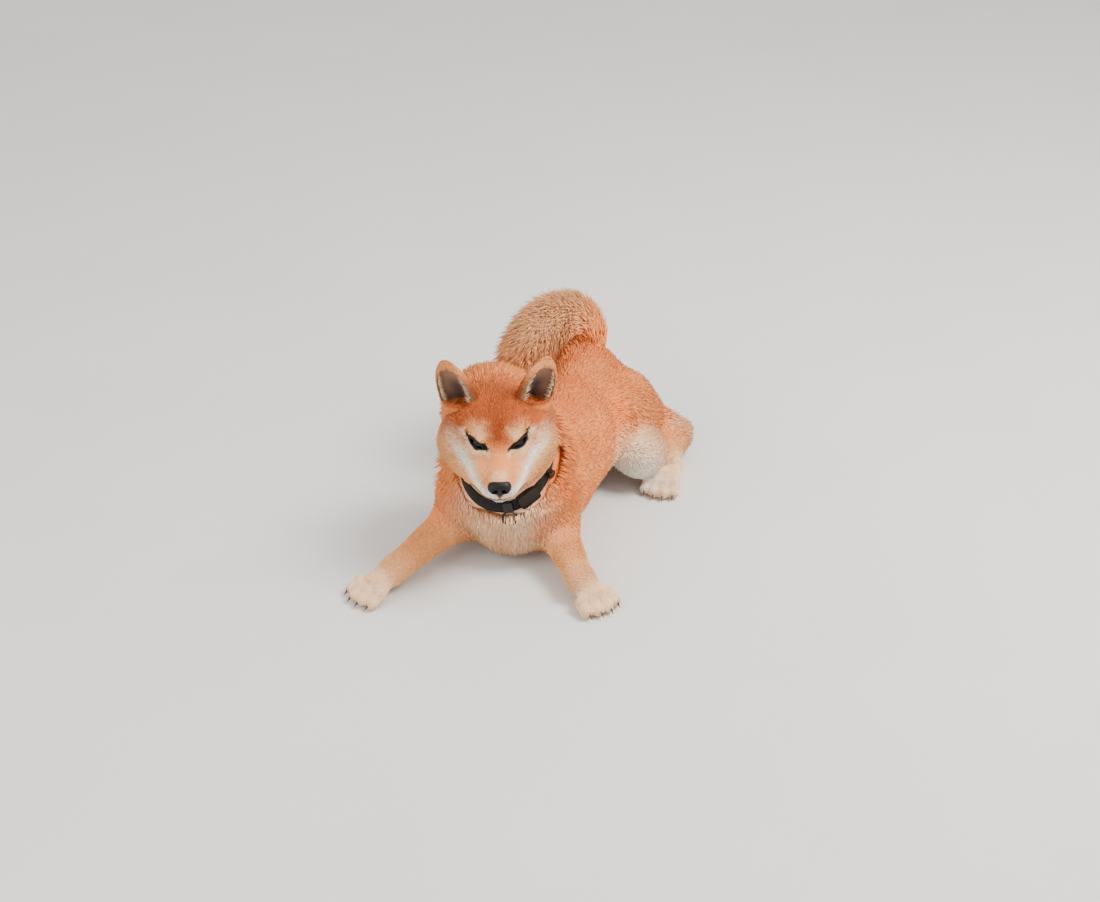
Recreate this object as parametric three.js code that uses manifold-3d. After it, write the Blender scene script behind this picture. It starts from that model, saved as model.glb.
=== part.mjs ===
// A young shiba inu lying on its chest with the forelegs spread, the head up and turned a little
// to its left, and the tail curled over the back. Millimetres: x to the dog's left, y towards the
// tail, z up from the floor.
import * as THREE from "three";
import { mergeVertices } from "three/addons/utils/BufferGeometryUtils.js";
import Module from "manifold-3d";

const wasm = await Module();
wasm.setup();
const { sin, cos, min, max, abs, hypot, sqrt, PI } = Math;

// Driving sizes
const GAP = 0.3; // between touching pieces
const NOSE_TIP = [4, 23, 183];
const HEAD_YAW = 23; // the face turns to the left
const HEAD_PITCH = 9; // nose down
const HEAD_WIDTH = 162; // across the cheeks
const HEAD_LENGTH = 172; // nose to the back of the skull
const EYE_RADIUS = 10.5;
const EYE = [29, 34]; // across and up, in the head's own frame
const LID = 2.4; // thickness
const EYE_SLIT = [30, 8.5]; // length and opening between the lids
const EYE_SLANT = 27; // outer corner up
const NOSE_PAD = [14.5, 10.5, 10]; // half width, depth and height
const EAR_WIDTH = 55;
const CHEST_HEADING = 13; // the forequarters turn this far to the left
const CHEST_CENTRE = [-38, 160];
const RUMP_X = -14; // middle plane of the hindquarters
const TAIL_RADIUS = 36; // out to the tips of its coat
const COLLAR_WIDTH = 18;
const COLLAR_THICK = 3.2;

const COLOURS = {
  red: 0xc07a48,
  cream: 0xe6d2b8,
  black: 0x191513,
  eye: 0x20120b,
  claw: 0x3a2f2a,
  strap: 0x17130f,
  metal: 0x8c8680,
};

const rad = THREE.MathUtils.degToRad;
const vec = (p) => new THREE.Vector3(...p);
const lerp = (a, b, t) => a + (b - a) * t;
const mix = (p, q, t) => p.map((v, i) => lerp(v, q[i], t));
const plus = (p, q, k = 1) => p.map((v, i) => v + k * q[i]);

// Rounded solids as fields: negative inside, and joined by smooth fillets

const ball = (centre, radii, blend = 12) => ({ kind: "ball", centre, radii, blend });
const taper = (from, to, r0, r1, blend = 12) => ({ kind: "taper", from, to, r0, r1, blend });

function mirrored(prims) {
  const flip = ([x, y, z]) => [-x, y, z];
  return prims.flatMap((p) =>
    p.kind === "ball"
      ? [p, { ...p, centre: flip(p.centre) }]
      : [p, { ...p, from: flip(p.from), to: flip(p.to) }],
  );
}

function distance(prim, x, y, z) {
  if (prim.kind === "ball") {
    const [cx, cy, cz] = prim.centre;
    const [rx, ry, rz] = prim.radii;
    const dx = x - cx;
    const dy = y - cy;
    const dz = z - cz;
    const k0 = hypot(dx / rx, dy / ry, dz / rz);
    const k1 = hypot(dx / (rx * rx), dy / (ry * ry), dz / (rz * rz));
    return k1 < 1e-9 ? -min(rx, ry, rz) : (k0 * (k0 - 1)) / k1;
  }
  const [ax, ay, az] = prim.from;
  const bx = prim.to[0] - ax;
  const by = prim.to[1] - ay;
  const bz = prim.to[2] - az;
  const along = ((x - ax) * bx + (y - ay) * by + (z - az) * bz) / (bx * bx + by * by + bz * bz);
  const t = min(1, max(0, along));
  return hypot(x - ax - t * bx, y - ay - t * by, z - az - t * bz) - lerp(prim.r0, prim.r1, t);
}

function smoothMin(a, b, blend) {
  const h = max(blend - abs(a - b), 0) / blend;
  return min(a, b) - (h * h * blend) / 4;
}

function blended(prims) {
  return (x, y, z) => {
    let d = 1e6;
    for (const p of prims) d = smoothMin(d, distance(p, x, y, z), p.blend);
    return d;
  };
}

// Grid lines from lo to past hi, their spacing growing evenly from one size to another
function ticks(lo, hi, first, last = first) {
  const found = [lo];
  while (found.at(-1) < hi) {
    const t = (found.at(-1) - lo) / (hi - lo);
    found.push(found.at(-1) + lerp(first, last, t));
  }
  return found;
}

const CORNERS = [0, 1, 2, 3, 4, 5, 6, 7].map((i) => [i & 1, (i >> 1) & 1, i >> 2]);
const EDGES = CORNERS.flatMap((_, i) => [1, 2, 4].filter((bit) => !(i & bit)).map((bit) => [i, i + bit]));

// Where a cell's side is inside at two opposite corners only, a third corner is taken in as well,
// so that no edge of the surface is shared by four faces
function joinDiagonals(value, size, at) {
  const stride = [1, size[0], size[0] * size[1]];
  for (let changed = true; changed; ) {
    changed = false;
    for (const [u, w] of [[0, 1], [1, 2], [0, 2]])
      for (let k = 1; k + 2 < size[2]; k++)
        for (let j = 1; j + 2 < size[1]; j++)
          for (let i = 1; i + 2 < size[0]; i++) {
            const a = at(i, j, k);
            const corners = [a, a + stride[u], a + stride[u] + stride[w], a + stride[w]];
            const inside = corners.map((c) => value[c] <= 0);
            if (inside[0] !== inside[2] || inside[1] !== inside[3] || inside[0] === inside[1]) continue;
            const [p, q] = inside[0] ? [corners[1], corners[3]] : [corners[0], corners[2]];
            value[value[p] < value[q] ? p : q] = -0.01;
            changed = true;
          }
  }
}

// The closed surface where the field is nought, with one vertex in each grid cell that it crosses
function surfaceNet(field, [xs, ys, zs]) {
  const size = [xs.length, ys.length, zs.length];
  const at = (i, j, k) => i + size[0] * (j + size[1] * k);
  const value = new Float64Array(size[0] * size[1] * size[2]);
  for (let k = 0; k < size[2]; k++)
    for (let j = 0; j < size[1]; j++)
      for (let i = 0; i < size[0]; i++) {
        const rim = [i, j, k].some((v, a) => v === 0 || v === size[a] - 1);
        const d = field(xs[i], ys[j], zs[k]);
        value[at(i, j, k)] = rim ? max(d, 0.5) : d || 1e-6;
      }
  joinDiagonals(value, size, at);
  const vertexOf = new Map();
  const points = [];
  for (let k = 0; k + 1 < size[2]; k++)
    for (let j = 0; j + 1 < size[1]; j++)
      for (let i = 0; i + 1 < size[0]; i++) {
        const v = CORNERS.map(([a, b, c]) => value[at(i + a, j + b, k + c)]);
        if (v.every((d) => d > 0) || v.every((d) => d <= 0)) continue;
        const crossings = EDGES.filter(([a, b]) => v[a] > 0 !== v[b] > 0).map(([a, b]) => {
          const [p, q] = [CORNERS[a], CORNERS[b]].map(([u, s, w]) => [xs[i + u], ys[j + s], zs[k + w]]);
          return mix(p, q, v[a] / (v[a] - v[b]));
        });
        const sum = crossings.reduce((s, p) => plus(s, p), [0, 0, 0]);
        vertexOf.set(at(i, j, k), points.length);
        points.push(sum.map((d) => d / crossings.length));
      }
  const faces = [];
  for (const [axis, u, w] of [[0, 1, 2], [1, 2, 0], [2, 0, 1]]) {
    const start = [0, 1, 2].map((a) => (a === axis ? 0 : 1));
    for (let k = start[2]; k + 1 < size[2]; k++)
      for (let j = start[1]; j + 1 < size[1]; j++)
        for (let i = start[0]; i + 1 < size[0]; i++) {
          const here = [i, j, k];
          const next = here.map((v, a) => v + (a === axis ? 1 : 0));
          const inside = value[at(...here)] <= 0;
          if (inside === value[at(...next)] <= 0) continue;
          const cell = (du, dw) => {
            const c = [...here];
            c[u] -= du;
            c[w] -= dw;
            return vertexOf.get(at(...c));
          };
          const quad = [cell(1, 1), cell(0, 1), cell(0, 0), cell(1, 0)];
          if (!inside) quad.reverse();
          faces.push([quad[0], quad[1], quad[2]], [quad[0], quad[2], quad[3]]);
        }
  }
  return geometryOf(points, faces);
}

function geometryOf(points, faces) {
  return new THREE.BufferGeometry()
    .setAttribute("position", new THREE.Float32BufferAttribute(points.flat(), 3))
    .setIndex(faces.flat());
}

// A closed solid through rings of points, each end drawn to one point
function loft(rings, start, end) {
  const sides = rings[0].length;
  const points = [...rings.flat(), start, end];
  const first = points.length - 2;
  const top = (rings.length - 1) * sides;
  const faces = [];
  for (let s = 0; s < sides; s++) {
    const n = (s + 1) % sides;
    faces.push([first, n, s]);
    for (let r = 0; r < top; r += sides)
      faces.push([r + s, r + n, r + sides + n], [r + s, r + sides + n, r + sides + s]);
    faces.push([top + s, top + n, first + 1]);
  }
  return geometryOf(points, faces);
}

// A ring-shaped solid: each station is a closed section, and the last joins the first
function hoop(stations) {
  const sides = stations[0].length;
  const faces = [];
  stations.forEach((_, r) => {
    const [a, b] = [r * sides, ((r + 1) % stations.length) * sides];
    for (let s = 0; s < sides; s++) {
      const n = (s + 1) % sides;
      faces.push([a + s, a + n, b + n], [a + s, b + n, b + s]);
    }
  });
  return geometryOf(stations.flat(), faces);
}

function bare(geometry) {
  const copy = geometry.clone();
  copy.deleteAttribute("normal");
  copy.deleteAttribute("uv");
  return mergeVertices(copy, 1e-4);
}

function solid(geometry) {
  const merged = bare(geometry);
  const vertProperties = merged.attributes.position.array;
  const make = (flip) => {
    const triVerts = new Uint32Array(merged.index.array);
    if (flip)
      for (let i = 0; i < triVerts.length; i += 3)
        [triVerts[i + 1], triVerts[i + 2]] = [triVerts[i + 2], triVerts[i + 1]];
    return new wasm.Manifold(new wasm.Mesh({ numProp: 3, vertProperties, triVerts }));
  };
  const made = make(false);
  return made.volume() < 0 ? make(true) : made;
}

const placed = (geometry, matrix) => solid(geometry.clone().applyMatrix4(matrix));

function largest(manifold) {
  return manifold.decompose().sort((a, b) => b.volume() - a.volume())[0];
}

// A frame with its y axis along the given direction and its z axis as near up as it can be
function frameAlong(origin, direction, up = [0, 0, 1]) {
  const y = vec(direction).normalize();
  const x = y.clone().cross(vec(up)).normalize();
  const z = x.clone().cross(y);
  return new THREE.Matrix4().makeBasis(x, y, z).setPosition(...origin);
}

const pointIn = (matrix, p) => vec(p).applyMatrix4(matrix).toArray();

function within(matrix, field) {
  const e = matrix.elements;
  return (x, y, z) =>
    field(
      e[0] * x + e[4] * y + e[8] * z + e[12],
      e[1] * x + e[5] * y + e[9] * z + e[13],
      e[2] * x + e[6] * y + e[10] * z + e[14],
    );
}

// Head, in its own frame: x to the left, y back from the nose tip, z up

const headMatrix = new THREE.Matrix4()
  .makeRotationFromEuler(new THREE.Euler(rad(HEAD_PITCH), 0, rad(HEAD_YAW), "ZXY"))
  .setPosition(...NOSE_TIP);
const headInverse = headMatrix.clone().invert();
const CHEEK = HEAD_WIDTH / 2;

const headPrims = [
  ball([0, 112, 20], [60, HEAD_LENGTH - 112, 52], 10),
  ball([0, 84, 24], [42, 34, 30], 22),
  ...mirrored([ball([CHEEK - 38, 104, -3], [38, 42, 41], 22)]),
  ...mirrored([ball([34, 78, -16], [24, 28, 26], 20)]),
  ...mirrored([taper([10, 22, -10], [20, 64, -6], 16, 26, 14)]),
  taper([0, 17, 2], [0, 66, 19], 10.5, 16, 12),
  taper([0, 21, -26], [0, 74, -34], 11, 26, 6),
  ...mirrored([taper([11, 28, -18], [24, 60, -22], 13, 20, 10)]),
  ball([0, 106, -36], [54, 42, 24], 20),
];
const headField = blended(headPrims);

// Trunk and legs

const heading = [sin(rad(CHEST_HEADING)), -cos(rad(CHEST_HEADING))];
const chestPoint = (left, forward, z) => [
  CHEST_CENTRE[0] - heading[1] * left + heading[0] * forward,
  CHEST_CENTRE[1] + heading[0] * left + heading[1] * forward,
  z,
];
const NECK_BASE = chestPoint(0, -14, 138);
const NECK_TOP = pointIn(headMatrix, [0, 142, -2]);

const trunkPrims = [
  ball([-20, 222, 78], [84, 112, 84], 20),
  ball(chestPoint(0, -28, 128), [54, 74, 60], 30),
  ball(chestPoint(0, 31, 66), [64, 40, 52], 30),
  ball([-14, 325, 74], [78, 108, 76], 30),
  ball([-14, 350, 108], [56, 100, 64], 30),
  ball([RUMP_X, 420, 116], [60, 72, 64], 30),
  ball([RUMP_X, 446, 78], [66, 44, 62], 30),
];
const neckPrims = [
  taper(NECK_BASE, NECK_TOP, 68, 60, 30),
  ball(chestPoint(0, -18, 150), [82, 62, 54], 26),
  ball(pointIn(headMatrix, [0, 156, -4]), [76, 56, 72], 26),
  ball(chestPoint(-66, -12, 124), [22, 40, 40], 20),
];

// Each foreleg's joints: shoulder, elbow, wrist, and the tip of the middle toes
const FORELEGS = {
  left: {
    shoulder: chestPoint(50, 16, 92),
    elbow: [30, 160, 46],
    wrist: [99, 74, 28],
    toes: [150, 40, 0],
    side: 1,
  },
  right: {
    shoulder: chestPoint(-52, 16, 92),
    elbow: [-104, 128, 48],
    wrist: [-147, 10, 28],
    toes: [-184, -54, 0],
    side: -1,
  },
};

function forelegPrims({ shoulder, elbow, wrist }) {
  const point = mix(elbow, wrist, -0.14);
  return [
    ball(mix(shoulder, elbow, 0.15), [42, 46, 42], 20),
    taper(shoulder, elbow, 40, 32, 20),
    ball([point[0], point[1], point[2] - 2], [24, 26, 26], 20),
    taper(elbow, wrist, 30, 19, 18),
  ];
}

// The hind legs are alike on both sides
const HIND = { hip: [42, 430, 94], knee: [92, 366, 54], hock: [116, 474, 30], toes: [130, 330, 0] };
const acrossRump = ([x, y, z]) => [2 * RUMP_X - x, y, z];
const HINDLEGS = {
  left: { ...HIND, side: 1 },
  right: {
    hip: acrossRump(HIND.hip),
    knee: acrossRump(HIND.knee),
    hock: acrossRump(HIND.hock),
    toes: acrossRump(HIND.toes),
    side: -1,
  },
};

function hindlegPrims({ hip, knee, hock, side }) {
  const heel = [hock[0] + side * 4, hock[1] + 12, hock[2] + 12];
  return [
    ball(mix(hip, knee, 0.2), [36, 60, 54], 28),
    taper(hip, knee, 46, 32, 26),
    taper(knee, hock, 32, 18, 18),
    taper(mix(hip, hock, 0.35), plus(hock, [0, -2, 8]), 34, 19, 22),
    taper(hock, heel, 17, 10, 14),
  ];
}

// A paw or foot: its root joint and four toes spread like a fan
const TOES = [-1.5, -0.5, 0.5, 1.5];
const TOE_RADIUS = 9.6;
const INSTEP = 17; // height of the toes' roots
const OUTER_TOE_BACK = 5.5; // each toe off the middle ends this much further back

function pawShape({ wrist, hock, toes, side }, width) {
  const root = wrist ?? [hock[0], hock[1], 20];
  const run = vec([toes[0] - root[0], toes[1] - root[1], 0]);
  const reach = run.length();
  const matrix = frameAlong([root[0], root[1], 0], run.toArray());
  const at = (across, along, z) => pointIn(matrix, [across, along, z]);
  const fan = TOES.map((i) => {
    const long = reach - TOE_RADIUS - abs(i) * OUTER_TOE_BACK + (i * side > 0 ? 0 : 1);
    return {
      root: at(i * width * 0.2, reach * 0.42, INSTEP),
      knuckle: at(i * width * 0.27, long - 14, INSTEP - 2),
      tip: at(i * width * 0.31, long, TOE_RADIUS - 0.6),
      spread: i * width * 0.04,
    };
  });
  const prims = [
    taper(root, at(0, reach * 0.45, INSTEP), 18.5, 17.5, 14),
    ball(at(0, reach * 0.5, 9), [width * 0.36, width * 0.36, 11], 8),
    ...fan.flatMap(({ root: from, knuckle, tip }) => [
      taper(from, knuckle, 9, TOE_RADIUS, 5),
      taper(knuckle, tip, TOE_RADIUS, TOE_RADIUS - 0.4, 3),
    ]),
  ];
  return { prims, fan, matrix };
}

const FOREPAW_WIDTH = 50;
const HINDPAW_WIDTH = 46;
const paws = {
  paw_fore_left: pawShape(FORELEGS.left, FOREPAW_WIDTH),
  paw_fore_right: pawShape(FORELEGS.right, FOREPAW_WIDTH),
  foot_hind_left: pawShape(HINDLEGS.left, HINDPAW_WIDTH),
  foot_hind_right: pawShape(HINDLEGS.right, HINDPAW_WIDTH),
};

const bodyPrims = [
  ...trunkPrims,
  ...neckPrims,
  ...Object.values(FORELEGS).flatMap(forelegPrims),
  ...Object.values(HINDLEGS).flatMap(hindlegPrims),
  ...Object.values(paws).flatMap((p) => p.prims),
];
const bodyField = blended(bodyPrims);
const HEAD_BLEND = 16;
const REACH = 60; // a solid further than this from a block doesn't shape what is in it

// The whole body's field, from only the solids that come near a given sphere
function fleshNear(centre, radius) {
  const near = bodyPrims.filter((p) => distance(p, ...centre) < radius + REACH);
  const body = blended(near);
  const head = within(headInverse, headField);
  if (head(...centre) > radius + REACH) return body;
  return (x, y, z) => smoothMin(body(x, y, z), head(x, y, z), HEAD_BLEND);
}

// Blocks that part the body, each an outline pushed along x in a frame of its own

function growOutline(outline, by) {
  const n = outline.length;
  const area = (i) => outline[i][0] * outline[(i + 1) % n][1] - outline[i][1] * outline[(i + 1) % n][0];
  const turn = outline.reduce((sum, _, i) => sum + area(i), 0);
  const edge = (i) => {
    const [p, q] = [outline[i], outline[(i + 1) % n]];
    const out = new THREE.Vector2(q[1] - p[1], p[0] - q[0]).normalize().multiplyScalar(Math.sign(turn));
    return { normal: out, offset: out.x * p[0] + out.y * p[1] + by };
  };
  return outline.map((_, i) => {
    const [e, f] = [edge((i + n - 1) % n), edge(i)];
    const det = e.normal.x * f.normal.y - e.normal.y * f.normal.x;
    return [
      (e.offset * f.normal.y - f.offset * e.normal.y) / det,
      (e.normal.x * f.offset - f.normal.x * e.offset) / det,
    ];
  });
}

// The outline is in y and z, and the block runs from left to right in x
function block({ matrix, outline, span }, grow = 0) {
  const shape = new THREE.Shape(growOutline(outline, grow).map((p) => new THREE.Vector2(...p)));
  const depth = span[1] - span[0] + 2 * grow;
  const geometry = new THREE.ExtrudeGeometry(shape, { depth, bevelEnabled: false });
  const upright = new THREE.Matrix4().makeBasis(vec([0, 1, 0]), vec([0, 0, 1]), vec([1, 0, 0]));
  geometry.applyMatrix4(upright).translate(span[0] - grow, 0, 0);
  return placed(geometry, matrix);
}

const oblong = ([y0, z0], [y1, z1]) => [[y0, z0], [y1, z0], [y1, z1], [y0, z1]];

const FLOOR = -6; // blocks run this far below the floor
const world = new THREE.Matrix4();
const flat = ([x, y]) => [x, y, 0];
const chestFrame = frameAlong(flat(CHEST_CENTRE), [...heading, 0]);

const HEAD_OUTLINE = [[-20, -42], [40, -52], [76, -60], [118, -50], [148, 6], [150, 96], [-20, 96]];

function legBlocks() {
  const found = [];
  for (const [side, leg] of Object.entries(FORELEGS)) {
    const down = [leg.toes[0] - leg.wrist[0], leg.toes[1] - leg.wrist[1], 0];
    const up = [leg.elbow[0] - leg.wrist[0], leg.elbow[1] - leg.wrist[1], 0];
    const [paw, arm] = [down, up].map((d) => frameAlong(flat(leg.wrist), d));
    found.push({
      name: `paw_fore_${side}`,
      matrix: paw,
      outline: oblong([-2, FLOOR], [94, 60]),
      span: [-40, 40],
      step: 9.4,
    });
    found.push({
      name: `forearm_${side}`,
      matrix: arm,
      outline: oblong([-40, FLOOR], [88, 92]),
      span: [-46, 46],
      step: 14,
    });
  }
  for (const [side, leg] of Object.entries(HINDLEGS)) {
    const run = [leg.toes[0] - leg.hock[0], leg.toes[1] - leg.hock[1], 0];
    found.push({
      name: `foot_hind_${side}`,
      matrix: frameAlong(flat(leg.hock), run),
      outline: [[-14, FLOOR], [168, FLOOR], [168, 24], [30, 24]],
      span: [-32, 32],
      step: 12,
    });
  }
  return found;
}

function trunkBlocks() {
  const found = [];
  for (const [side, { side: s }] of Object.entries(FORELEGS)) {
    found.push({
      name: `upper_arm_${side}`,
      matrix: chestFrame,
      outline: oblong([-70, FLOOR], [130, 150]),
      span: s > 0 ? [-150, -48] : [48, 150], // this frame's x points to the right
      step: 20,
    });
  }
  for (const [side, { side: s }] of Object.entries(HINDLEGS)) {
    const span = [RUMP_X + s * 50, RUMP_X + s * 190].sort((a, b) => a - b);
    found.push({
      name: `shank_${side}`,
      matrix: world,
      outline: oblong([300, FLOOR], [520, 56]),
      span,
      step: 23,
    });
    found.push({
      name: `thigh_${side}`,
      matrix: world,
      outline: oblong([300, 50], [520, 200]),
      span,
      step: 23,
    });
  }
  return found;
}

const regions = [
  ...legBlocks(),
  { name: "head", matrix: headMatrix, outline: HEAD_OUTLINE, span: [-100, 100], step: 9.8, last: 13.5 },
  ...trunkBlocks(),
  {
    name: "neck",
    matrix: world,
    outline: [[20, 92], [110, 128], [300, 214], [300, 330], [20, 330]],
    span: [-170, 100],
    step: 23,
  },
  {
    name: "torso",
    matrix: world,
    outline: oblong([40, FLOOR], [540, 300]),
    span: [-190, 170],
    step: 30,
  },
];

const floor = placed(new THREE.BoxGeometry(2000, 2000, 600), new THREE.Matrix4().setPosition(0, 0, 300));
const PAST = 14; // how far a mesh runs past its block

// The body's surface in and around a block; a grow of more than nought swells it
function surfaceIn({ matrix, outline, span, step, last = step }, grow = 0) {
  const [ys, zs] = [0, 1].map((a) => outline.map((p) => p[a]));
  const lo = [span[0], min(...ys), min(...zs)].map((v) => v - PAST);
  const hi = [span[1], max(...ys), max(...zs)].map((v) => v + PAST);
  const centre = pointIn(matrix, mix(lo, hi, 0.5));
  const flesh = within(matrix, fleshNear(centre, vec(plus(hi, lo, -1)).length() / 2));
  const grid = lo.map((v, i) => ticks(v, hi[i], step, i === 1 ? last : step));
  return placed(surfaceNet((x, y, z) => flesh(x, y, z) - grow, grid), matrix);
}

const nodes = new Map();
const taken = [];
for (const region of regions) {
  let made = surfaceIn(region).intersect(floor).intersect(block(region));
  for (const t of taken) made = made.subtract(t);
  nodes.set(region.name, largest(made));
  taken.push(block(region, GAP));
}
function cut(name, ...tools) {
  const left = tools.reduce((m, t) => m.subtract(t), nodes.get(name));
  nodes.set(name, largest(left));
}

// Where a line from outside first meets a field
function firstHit(field, from, direction, level = 0) {
  const step = vec(direction).normalize().toArray();
  let at = from;
  for (let i = 0; i < 400; i++) {
    const d = field(...at) - level;
    if (d < 0.02) return at;
    at = plus(at, step, max(0.05, d * 0.6));
  }
  return at;
}

function normalOf(field, p) {
  const e = 0.5;
  const slope = [0, 1, 2].map((a) => {
    const d = [0, 0, 0];
    d[a] = e;
    return field(...plus(p, d)) - field(...plus(p, d, -1));
  });
  return vec(slope).normalize().toArray();
}

// Eyes: a ball in each socket, and lids that leave a slanting slit

function sphere(radius, centre, matrix, around = 12) {
  return placed(new THREE.SphereGeometry(radius, around, around * 0.6).translate(...centre), matrix);
}

function eyeShape(side) {
  const front = firstHit(headField, [side * EYE[0], -40, EYE[1]], [0, 1, 0]);
  const out = normalOf(headField, front);
  const centre = plus(front, out, -(EYE_RADIUS - 2));
  const [long, open] = EYE_SLIT;
  const slant = rad(EYE_SLANT) * side;
  const z = vec([-sin(slant), 0, cos(slant)]);
  const y = vec(out);
  const x = y.clone().cross(z).normalize();
  const almond = new THREE.Shape()
    .moveTo(-long / 2, 0)
    .quadraticCurveTo(0, open, long / 2, 0)
    .quadraticCurveTo(0, -open, -long / 2, 0);
  const slit = new THREE.ExtrudeGeometry(almond, { depth: 24, bevelEnabled: false, curveSegments: 6 });
  const facing = new THREE.Matrix4().makeBasis(x, x.clone().cross(y).negate(), y).setPosition(...centre);
  slit.applyMatrix4(facing);
  return { centre, slit: placed(slit, headMatrix) };
}

for (const [name, side] of [["left", 1], ["right", -1]]) {
  const { centre, slit } = eyeShape(side);
  const lids = sphere(EYE_RADIUS + LID, centre, headMatrix);
  const socket = sphere(EYE_RADIUS + GAP, centre, headMatrix);
  nodes.set("head", nodes.get("head").add(lids));
  cut("head", socket, slit);
  nodes.set(`eye_${name}`, sphere(EYE_RADIUS, centre, headMatrix));
}

// Nose pad with two comma-shaped nostrils

const NOSE_DROP = 4; // the pad's middle is this far under the nose tip
const nosePrims = [
  ball([0, NOSE_PAD[1] - 1, 2 - NOSE_DROP], NOSE_PAD, 4),
  ...mirrored([ball([8, 8, 0.5 - NOSE_DROP], [7.2, 8.6, 7.8], 4)]),
  taper([0, 3.4, -5 - NOSE_DROP], [0, 6.5, -12 - NOSE_DROP], 4, 3, 4),
];
const noseField = blended(nosePrims);
const nostrilPrims = [
  taper([4.8, -3, 1 - NOSE_DROP], [5.6, 7, -NOSE_DROP], 2.7, 2, 1),
  taper([6.5, 0, -NOSE_DROP], [13, 4, -3 - NOSE_DROP], 2.2, 1.4, 2),
];
const nostrilField = blended(mirrored(nostrilPrims));
const NOSE_GRID = [ticks(-19, 19, 4.2), ticks(-6, 22, 4.6), ticks(-24, 12, 4)];
const nosePiece = (field) => placed(surfaceNet(field, NOSE_GRID), headMatrix);
const nose = nosePiece((x, y, z) => max(noseField(x, y, z), -nostrilField(x, y, z)));
cut("head", nosePiece((x, y, z) => noseField(x, y, z) - GAP - 0.1));
nodes.set("nose", largest(nose));

// Mouth: a fine groove from the nose down to the lips and back along both sides

const GROOVE = 1.1;

function mouthLine() {
  const front = (x, z) => firstHit(headField, [x, -40, z], [0, 1, 0]);
  const sideways = (y, z) => firstHit(headField, [70, y, z], [-1, 0, 0]);
  const half = [front(3, -28), front(10, -26), sideways(22, -24), sideways(34, -26), sideways(48, -30)];
  const other = half.map(([x, y, z]) => [-x, y, z]).reverse();
  return new THREE.CatmullRomCurve3([...other, front(0, -26), ...half].map(vec), false, "centripetal");
}

function groove(curve, steps) {
  const ring = new THREE.Shape().absarc(0, 0, GROOVE, 0, 2 * PI);
  const tube = new THREE.ExtrudeGeometry(ring, { extrudePath: curve, steps, curveSegments: 2 });
  return placed(tube, headMatrix);
}

// Ears: cones open at the front, rounded at the tip

const EAR_BASE = [47, 124, 45];
const EAR_TIP = [66, 117, 123];
const EAR_TURN = 26; // the cup looks this far outward
const EAR_RINGS = 6;
const EAR_SIDES = 12;

function earShell(side, { wide, deep, forward, from, to }) {
  const base = [side * EAR_BASE[0], EAR_BASE[1], EAR_BASE[2]];
  const tip = [side * EAR_TIP[0], EAR_TIP[1], EAR_TIP[2]];
  const up = vec(plus(tip, base, -1));
  const face = vec([side * sin(rad(EAR_TURN)), -cos(rad(EAR_TURN)), 0]);
  const across = up.clone().cross(face).normalize();
  const back = up.clone().cross(across).normalize();
  const rings = [];
  for (let r = 0; r < EAR_RINGS; r++) {
    const t = lerp(from, to, (r / (EAR_RINGS - 1)) ** 0.85);
    const above = max(0, t);
    const width = wide * (1 - above ** 2.8) ** 0.62;
    const depth = deep * (1 - 0.72 * above) * (1 - above ** 6);
    rings.push(
      Array.from({ length: EAR_SIDES }, (_, s) => {
        const a = (2 * PI * s) / EAR_SIDES;
        const p = vec(base).addScaledVector(up, t);
        p.addScaledVector(across, width * cos(a)).addScaledVector(back, depth * sin(a) + forward * (1 - t));
        return p.toArray();
      }),
    );
  }
  const end = (t) => vec(base).addScaledVector(up, t).addScaledVector(back, forward * (1 - t)).toArray();
  return placed(loft(rings, end(from), end(to)), headMatrix);
}

const EAR_WALL = 4;
const headRegion = regions.find((r) => r.name === "head");
const headGrown = surfaceIn(headRegion, 2 * GAP);
for (const [name, side] of [["left", 1], ["right", -1]]) {
  const wide = EAR_WIDTH / 2;
  const shell = earShell(side, { wide, deep: 17, forward: 0, from: -0.25, to: 0.985 });
  const cup = earShell(side, { wide: wide - EAR_WALL, deep: 16, forward: -10, from: -0.02, to: 0.86 });
  nodes.set(`ear_${name}`, largest(shell.subtract(cup).subtract(headGrown)));
}
cut("head", groove(mouthLine(), 22));

// Tail: a bushy plume that rises from the rump and curls forward over the back

const TAIL_PATH = new THREE.CatmullRomCurve3(
  [
    [-18, 436, 130],
    [-27, 464, 170],
    [-40, 462, 200],
    [-58, 436, 219],
    [-71, 392, 223],
    [-80, 350, 212],
    [-85, 312, 194],
  ].map(vec),
  false,
  "centripetal",
);
const TAIL_PARTS = ["tail_base", "tail_curl", "tail_tip"];
const TAIL_CUTS = [0.42, 0.7];
const TAIL_STATIONS = 15;
const TAIL_SIDES = 12;

// The coat's depth along the tail: short at the root, full over the back, pointed at the tip
function tailRadius(t) {
  const filling = min(0.66 + 1.2 * max(0, t - 0.18), 1);
  const closing = sqrt(max(0, 1 - max(0, (t - 0.6) / 0.42) ** 2.4));
  return TAIL_RADIUS * filling * closing;
}

function tailRing(t, radius) {
  const centre = TAIL_PATH.getPointAt(t);
  const frame = frameAlong(centre.toArray(), TAIL_PATH.getTangentAt(t).toArray());
  return Array.from({ length: TAIL_SIDES }, (_, s) => {
    const a = (2 * PI * s) / TAIL_SIDES;
    return pointIn(frame, [radius * cos(a), 0, radius * sin(a)]);
  });
}

// The core under the locks: all of the coat at the short-haired root, and half its depth further on
const coreShare = (t) => lerp(1, 0.5, THREE.MathUtils.smoothstep(t, 0.1, 0.28));

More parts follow.
